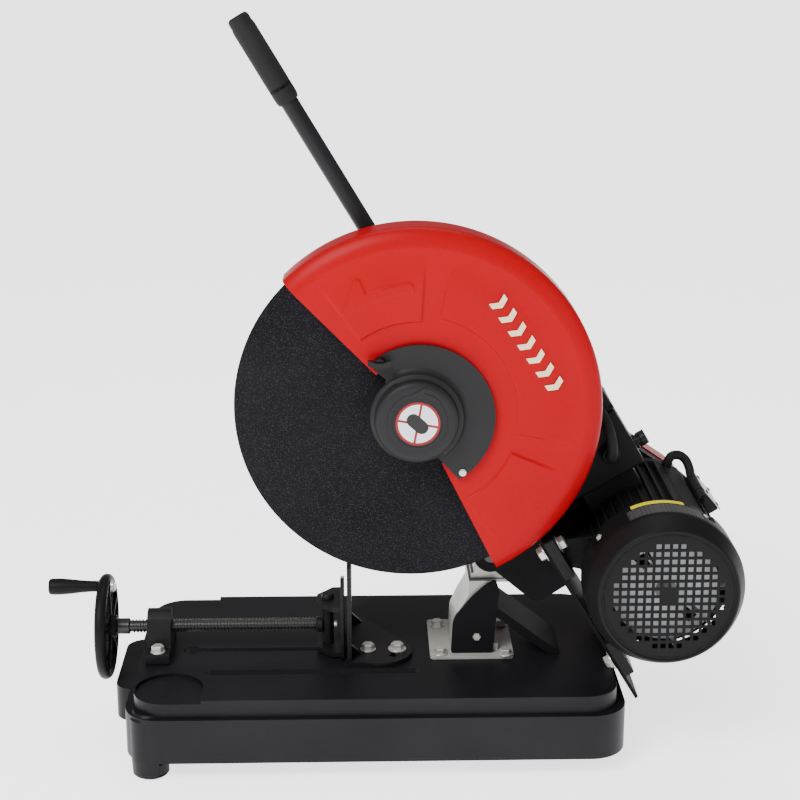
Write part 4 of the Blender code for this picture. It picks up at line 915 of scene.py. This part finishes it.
def make_housing():
    """A finned casting on two feet, with a flat pad and the junction box on its outer side."""
    low, high = STATOR_Y
    core = 76.5
    body = lathe(
        "motor_body", "Y", MOTOR_AXIS,
        [(72.4, high), (STATOR_R - 0.5, high), (STATOR_R, high - 1), (STATOR_R, high - 7), (core, high - 9),
         (core, low + 9), (STATOR_R, low + 7), (86.4, low + 6), (86.4, low + 1), (12.3, low),
         (12.3, low + 6), (72.4, low + 6)], 120, ring=True,
    )
    solids = [body]
    fins = 44
    for i in range(fins):
        turn = TURN * (i + 0.5) / fins
        solids.append(radial_web(f"fin_{i}", (core - 1, STATOR_R - 0.2), (low + 4, high - 4), turn))
    for side in (-1, 1):
        us = (-98, -45, -84, -66, -30) if side < 0 else (96, 47, 82, 66, 30)
        top = FOOT_THICK - MOUNT_DROP
        sole = 0.4 - MOUNT_DROP
        outline = mounted((
            (us[0], sole), (us[1], sole), (us[1], top), (us[4], -68), (us[3], -42), (us[2], top + 3),
            (us[0], top),
        ))
        pad = mounted(((us[0], sole), (us[1], sole), (us[1], top), (us[0], top)))
        for end, ys in (("front", (12, 46)), ("rear", (104, 147))):
            solids.append(rounded(plate(f"foot_{end}_{side}", "Y", outline, *ys), 1.4, 2))
        solids.append(rounded(plate(f"foot_rail_{side}", "Y", pad, -15, 147), 1.6, 2))
    rib = mounted(((-62, 57), (-37, 78), (-42, 62), (-54, 51)))
    solids.append(rounded(plate("housing_pad", "Y", rib, 2, 149), 1.2, 2))
    junction = mounted(((-19, 76), (-19, 91.5), (9.5, 96), (9.5, 76)))
    solids.append(rounded(plate("junction_case", "Y", junction, 82, 148), 1.5, 2))
    dress(joined("motor_frame", solids), cast_black, "arm", "aluminium", "motor_housing", sharp=30)
    bell = lathe(
        "motor_end_shield", "Y", MOTOR_AXIS,
        shifted([
            (12.3, 12), (28, 12), (31, 11), (34, 7.6), (74, 6.4), (81, 5.6), (STATOR_R, 3.6), (STATOR_R, 0.4),
            (12.3, 0.4),
        ], high), 96, ring=True,
    )
    dress(bell, cast_black, "arm", "aluminium", "drive_end_bell")
    lid = mounted(((-21.5, 91.6), (-21.5, 93), (10.5, 98), (10.5, 96.6)))
    dress(rounded(plate("junction_lid", "Y", lid, 80, 150), 0.4, 1), silver, "arm", "steel")
    slope = 0.156
    ahead = along_mount(-slope, 1)
    for i, (u, y) in enumerate(((-15, 88), (-15, 142), (5, 88), (5, 142))):
        x, z = along_mount(u, 92.3 + (u + 21.5) * slope)
        hex_bolt(
            f"junction_screw_{i + 1}", "arm", (x, y, z), (ahead[0] - MOTOR_X, 0, ahead[1] - MOTOR_Z),
            3, 1.6, 3.4, 0.5, shank=(1.4, 3), paint=plastic,
        )


def make_terminal_box():
    body = rounded(slab("terminal_body", (-178, -102), (-50, 50), 46, 126), 4, 4)
    neck = rounded(slab("terminal_neck", (-106, -74), (-34, 34), 56, 118), 2, 2)
    # A boss for the lead on the front face
    x, z = along_mount(-134, 20)
    gland = lathe(
        "lead_gland", "Y", (x, z),
        [(0, 48), (13, 48), (13, 44.5), (11, 43.5), (11, 37), (10.4, 35), (8.8, 33.2), (7, 33), (6.4, 36),
         (0, 36)], 48,
    )
    case = joined("terminal_case", [body, neck, gland])
    dress(case, satin_plastic, "arm", "black_plastic", "terminal_box")
    lid = rounded(slab("terminal_lid", (-200.5, -178.6), (-50.5, 50.5), 46, 127.5), 5, 4)
    rim = rounded(slab("terminal_lid_rim", (-182.5, -178.6), (-51, 51), 45.8, 128), 1, 2)
    cap = joined("terminal_cap", [lid, rim])
    dress(cap, satin_plastic, "arm", "black_plastic", "terminal_box_lid")
    make_switch()
    make_cables(x, z)


def make_switch():
    """A ribbed rotary knob on a round collar."""
    base_x, base_z = along_mount(-123, 50)
    tip_x, tip_z = along_mount(-123, 66)
    way = (tip_x - base_x, 0, tip_z - base_z)
    collar = rod("switch_collar", "Z", (0, 0), 0.4, 4, 8.9, 0.6)
    barrel = lathe(
        "switch_barrel", "Z", (0, 0),
        [(0, 15.6), (7.2, 15.6), (8.2, 14.6), (8.6, 9), (7.6, 7.6), (7.4, 3.5), (0, 3.5)], 48,
    )
    grip = rounded(box("switch_grip", (-8.8, 8.8), (-2.6, 2.6), (5, 15.9)), 0.8, 3)
    knob = lean(joined("switch_handle", [collar, barrel, grip]), (base_x, 66, base_z), way)
    dress(knob, plastic, "switch_knob", "black_plastic", "switch_knob")


def make_cables(gland_x, gland_z):
    lead = [
        (gland_x, 32.7, gland_z), (gland_x, 26, gland_z + 1), (gland_x, 22, gland_z + 12),
        (gland_x - 4, 25, gland_z + 32), (gland_x - 12, 34, gland_z + 50), (206, 37, -4), (186, 37, 3),
        (164, 37, -3), (143, 38, -24), (127, 45, -47), (120, 57, -74), (117, 60, -88.8), (109.2, 60, -89.9),
    ]
    dress(tube("mains_lead", smooth_route(lead), 6.2), rubber, "arm", "rubber", "motor_lead")
    loop = [(-49.9, 68.0, 140), (-54.0, 72.9, 140), (-56.5, 79.5, 142), (-52, 87.5, 144), (-43, 91.5, 143),
            (-33, 90.2, 137), (-28, 87.2, 125), (-27.5, 86.4, 100), (-27.5, 86.4, 72), (-27.5, 86.4, 40)]
    route = []
    for u, n, y in loop:
        x, z = along_mount(u, n)
        route.append((x, y, z))
    hose = [tube("conduit_hose", smooth_route(route, 10), 5.6)]
    for y_low, y_high in ((112, 118), (66, 70), (40, 46)):
        x, z = along_mount(-27.5, 86.4)
        hose.append(tube(f"conduit_band_{y_low}", [(x, y_low, z), (x, y_high, z)], 6.2))
    x, z = along_mount(-49.9, 68)
    ahead = along_mount(-53.2, 71.9)
    hose.append(tube("conduit_collar", [(x, 140, z), (ahead[0], 140, ahead[1])], 6.4))
    dress(joined("motor_hose", hose), rubber, "arm", "rubber", "motor_conduit")


# ---- the belt drive


def make_belt_case():
    outline = obround(BELT_ENDS, BELT_CASE_R, 40)
    # Painted shade: the back plate is painted black where the case's red face lies in shadow
    back = plate(
        "belt_back_plate", "Y", outline, 166, 168.5, holes=[circle(0, 0, 20), circle(*MOTOR_AXIS, 16)]
    )
    dress(rounded(back, 0.5, 2), cast_black, "arm", "red_paint", "belt_case_back")
    cover = rounded(plate("belt_hood_shell", "Y", outline, 200, BELT_CASE_BACK), 7, 5)
    inside = obround(BELT_ENDS, BELT_CASE_R - 2.5, 40)
    cut(cover, plate("belt_hood_hollow", "Y", inside, 190, BELT_CASE_BACK - 2.5))
    # The wall next to the arm, under the red lid, is painted black: painted shade over the case's red paint
    wall = (obround(BELT_ENDS, 74.6, 40), obround(BELT_ENDS, 73.2, 40))
    tray = rounded(plate("belt_wall_painted_shade", "Y", wall[0], 168.8, 208, holes=[wall[1]]), 0.4, 1)
    dress(tray, cast_black, "arm", "red_paint")
    dish = shifted([(0, 1), (46, 1), (43, -1), (0, -1)], BELT_CASE_BACK)
    for name, centre in zip(("spindle", "motor"), BELT_ENDS):
        cut(cover, lathe(f"hood_dish_{name}", "Y", centre, dish))
    dress(cover, case_red, "arm", "red_paint", "belt_cover", sharp=25)


# ---- the vise


def thread(name, low, high, root_r, crest_r, pitch, sides=20):
    """A round bar with a trapezoid thread along X, about the vise screw's axis."""
    section = ((0.0, root_r), (0.28, root_r), (0.42, crest_r), (0.72, crest_r), (0.86, root_r))
    turns = int((high - low) / pitch)
    points, faces = [], []
    rows = turns * sides
    for i in range(rows + 1):
        angle = TURN * i / sides
        for share, radius in section:
            x = low + pitch * (i / sides + share)
            x = min(max(x, low), high)
            points.append(at(x, SCREW_Y + radius * cos(angle), SCREW_Z + radius * sin(angle)))
    count = len(section)
    for i in range(rows):
        for j in range(count - 1):
            a = i * count + j
            faces.append((a, a + 1, a + count + 1, a + count))
        if i + sides <= rows:
            a, b = i * count + count - 1, (i + sides) * count
            faces.append((a, b, b + count, a + count) if i + sides < rows else (a, b, a + count))
    mesh = bpy.data.meshes.new(name)
    mesh.from_pydata([tuple(p) for p in points], [], faces)
    return link(name, cleaned(mesh))


def make_screw():
    pin_x = JAW_PIN_X
    threaded = thread("screw_thread", -335.8, pin_x - 14.2, SCREW_R - 1.5, SCREW_R, SCREW_PITCH)
    core = rod("screw_core", "X", SCREW_AXIS, -337, pin_x - 14, SCREW_R - 1.4, 0.3)
    tip = rod("screw_tip", "X", SCREW_AXIS, pin_x - 15, pin_x - 8, 5, 0.3)
    collar = rod("screw_collar", "X", SCREW_AXIS, -350.5, -336, 9.5, 0.8)
    stub = rod("screw_stub", "X", SCREW_AXIS, -374, -349, 6, 0.5)
    screw = joined("lead_screw", [threaded, core, tip, stub])
    dress(screw, dark_steel, "screw", "steel", "vise_screw", sharp=40)
    dress(collar, dark_steel, "screw", "steel")
    make_handwheel()


def make_handwheel():
    centre = SCREW_AXIS
    around = [QUARTER - TURN * i / 24 for i in range(24)]
    rim_section = [(57 + 5.9 * cos(t), -364 + 6.8 * sin(t)) for t in around]
    rim = lathe("wheel_rim", "X", centre, rim_section, 120, ring=True)
    hub = lathe(
        "wheel_hub", "X", centre,
        [(6.3, -351.2), (12, -351.2), (13.4, -353), (14, -362), (13.4, -373), (12, -375.6), (6.3, -375.6)],
        72, ring=True,
    )
    web = lathe("wheel_web", "X", centre, [(13, -359), (53, -362), (53, -365), (13, -363)], 96, ring=True)
    openings = []
    for i in range(5):
        turn = TURN * (i + 0.5) / 5 + QUARTER
        start, end = turn - 0.42, turn + 0.42
        outline = arc(*centre, 47, start, end, 12) + arc(*centre, 20, end - 0.05, start + 0.05, 6)
        openings.append(plate(f"wheel_opening_{i}", "X", outline, -380, -345))
    cut(web, *openings)
    solids = [rim, hub, web]
    for i in range(5):
        turn = TURN * i / 5 + QUARTER
        side = Vector((-sin(turn), cos(turn))) * 1.8
        inner = Vector(centre) + Vector((cos(turn), sin(turn))) * 12
        outer = Vector(centre) + Vector((cos(turn), sin(turn))) * 54
        corners = [tuple(place) for place in (inner + side, inner - side, outer - side, outer + side)]
        rib = plate(f"wheel_rib_{i}", "X", corners, -368, -357.5)
        solids.append(rounded(rib, 0.7, 2))
    boss = rod("wheel_boss", "X", CRANK_AXIS, -371.2, -357, 8.2, 1)
    bore = rod("wheel_boss_bore", "X", CRANK_AXIS, -373, -354, 4.3, 0.1)
    cut(boss, bore)
    solids.append(boss)
    wheel = joined("dished_handwheel", solids)
    dress(wheel, satin_plastic, "screw", "black_plastic", "handwheel", sharp=38)
    pin = lathe(
        "crank_bolt", "X", CRANK_AXIS,
        [(0, -352), (5.6, -352), (7, -353.2), (7, -356.6), (4, -356.8), (4, -425), (0, -425)], 36,
    )
    dress(pin, zinc, "screw", "steel", "crank_pin")
    grip = lathe(
        "crank_handle", "X", CRANK_AXIS,
        [(4.3, -371.6), (5.8, -371.6), (6.4, -372.6), (6.6, -380), (7.4, -392), (8.8, -404), (9.7, -415),
         (9.8, -425), (9.3, -428.4), (8, -429.8), (5, -430), (0, -430), (0, -426), (4.3, -426)],
        72,
    )
    dress(grip, satin_plastic, "crank_grip", "black_plastic", "crank_grip", sharp=45)


def make_vise():
    make_screw()
    refined("screw_bracket", cast_black, "base", "cast_black", 1.6, 3)
    refined("moving_jaw", black_paint, "moving_jaw", "black_paint", 0.9, 2)
    refined("jaw_pin", black_paint, "jaw_carriage", "steel", 0.5, 2)
    end_cap = lathe(
        "screw_end_cap", "X", SCREW_AXIS,
        [(0, -91.4), (3.2, -91.4), (3.6, -90.6), (3.6, -88.2), (3, -87.4), (0, -87.2)], 32,
    )
    dress(end_cap, zinc, "jaw_carriage", "steel")
    sleeve = rod("pin_sleeve", "Z", (JAW_PIN_X, SCREW_Y), -313, -262.4, 7, 0.6)
    nose = rod("screw_nose", "X", SCREW_AXIS, -112.5, -105, 9.4, 0.7)
    dress(joined("pin_block", [sleeve, nose]), cast_black, "jaw_carriage", "steel", "screw_block")
    refined("fixed_jaw", black_paint, "fixed_jaw", "black_paint", 0.9, 2)


# ---- stage


def aimed(thing, way):
    thing.rotation_euler = way.to_track_quat("-Z", "Y").to_euler()


def make_stage():
    floor = link("studio_floor", bpy.data.meshes.new("studio_floor"))
    work = bmesh.new()
    bmesh.ops.create_grid(work, x_segments=1, y_segments=1, size=FLOOR_REACH)
    work.to_mesh(floor.data)
    work.free()
    paper = bpy.data.materials.new("white_paper")
    paper.use_nodes = True
    shader = paper.node_tree.nodes["Principled BSDF"]
    white = (1, 1, 1, 1)
    put(shader, Base_Color=(0.95, 0.95, 0.95, 1), Roughness=0.9)
    put(shader, Emission_Color=white, Emission_Strength=FLOOR_GLOW)
    floor.data.materials.append(paper)
    world = bpy.data.worlds.new("studio")
    world.use_nodes = True
    put(world.node_tree.nodes["Background"], Color=white, Strength=SKY_STRENGTH)
    bpy.context.scene.world = world
    sun = bpy.data.lights.new("sun", "SUN")
    sun.energy = SUN_STRENGTH
    sun.angle = SUN_ANGLE
    aimed(link("sun", sun), Vector(SUN_WAY))
    middle = at(0, 0, -80)
    for name, place, size, energy in LAMPS:
        lamp = bpy.data.lights.new(name, "AREA")
        lamp.shape = "SQUARE"
        lamp.size = size
        lamp.energy = energy
        made = link(name, lamp)
        made.location = at(*place)
        aimed(made, middle - at(*place))


def make_camera():
    lens = bpy.data.cameras.new("photo_camera")
    lens.lens = FOCAL_LENGTH
    lens.sensor_width = SENSOR_WIDTH
    lens.clip_end = 200.0
    camera = link("photo_camera", lens)
    camera.location = at(*CAMERA_PLACE)
    level = cos(CAMERA_PITCH)
    way = (sin(CAMERA_YAW) * level, cos(CAMERA_YAW) * level, -sin(CAMERA_PITCH))
    aimed(camera, Vector(way))
    bpy.context.scene.camera = camera


make_base()
make_pedestal()
make_arm()
make_handle()
make_disc()
make_guard()
make_hub_cover()
make_cowl()
make_fan()
make_housing()
make_terminal_box()
make_belt_case()
make_vise()
make_stage()
make_camera()
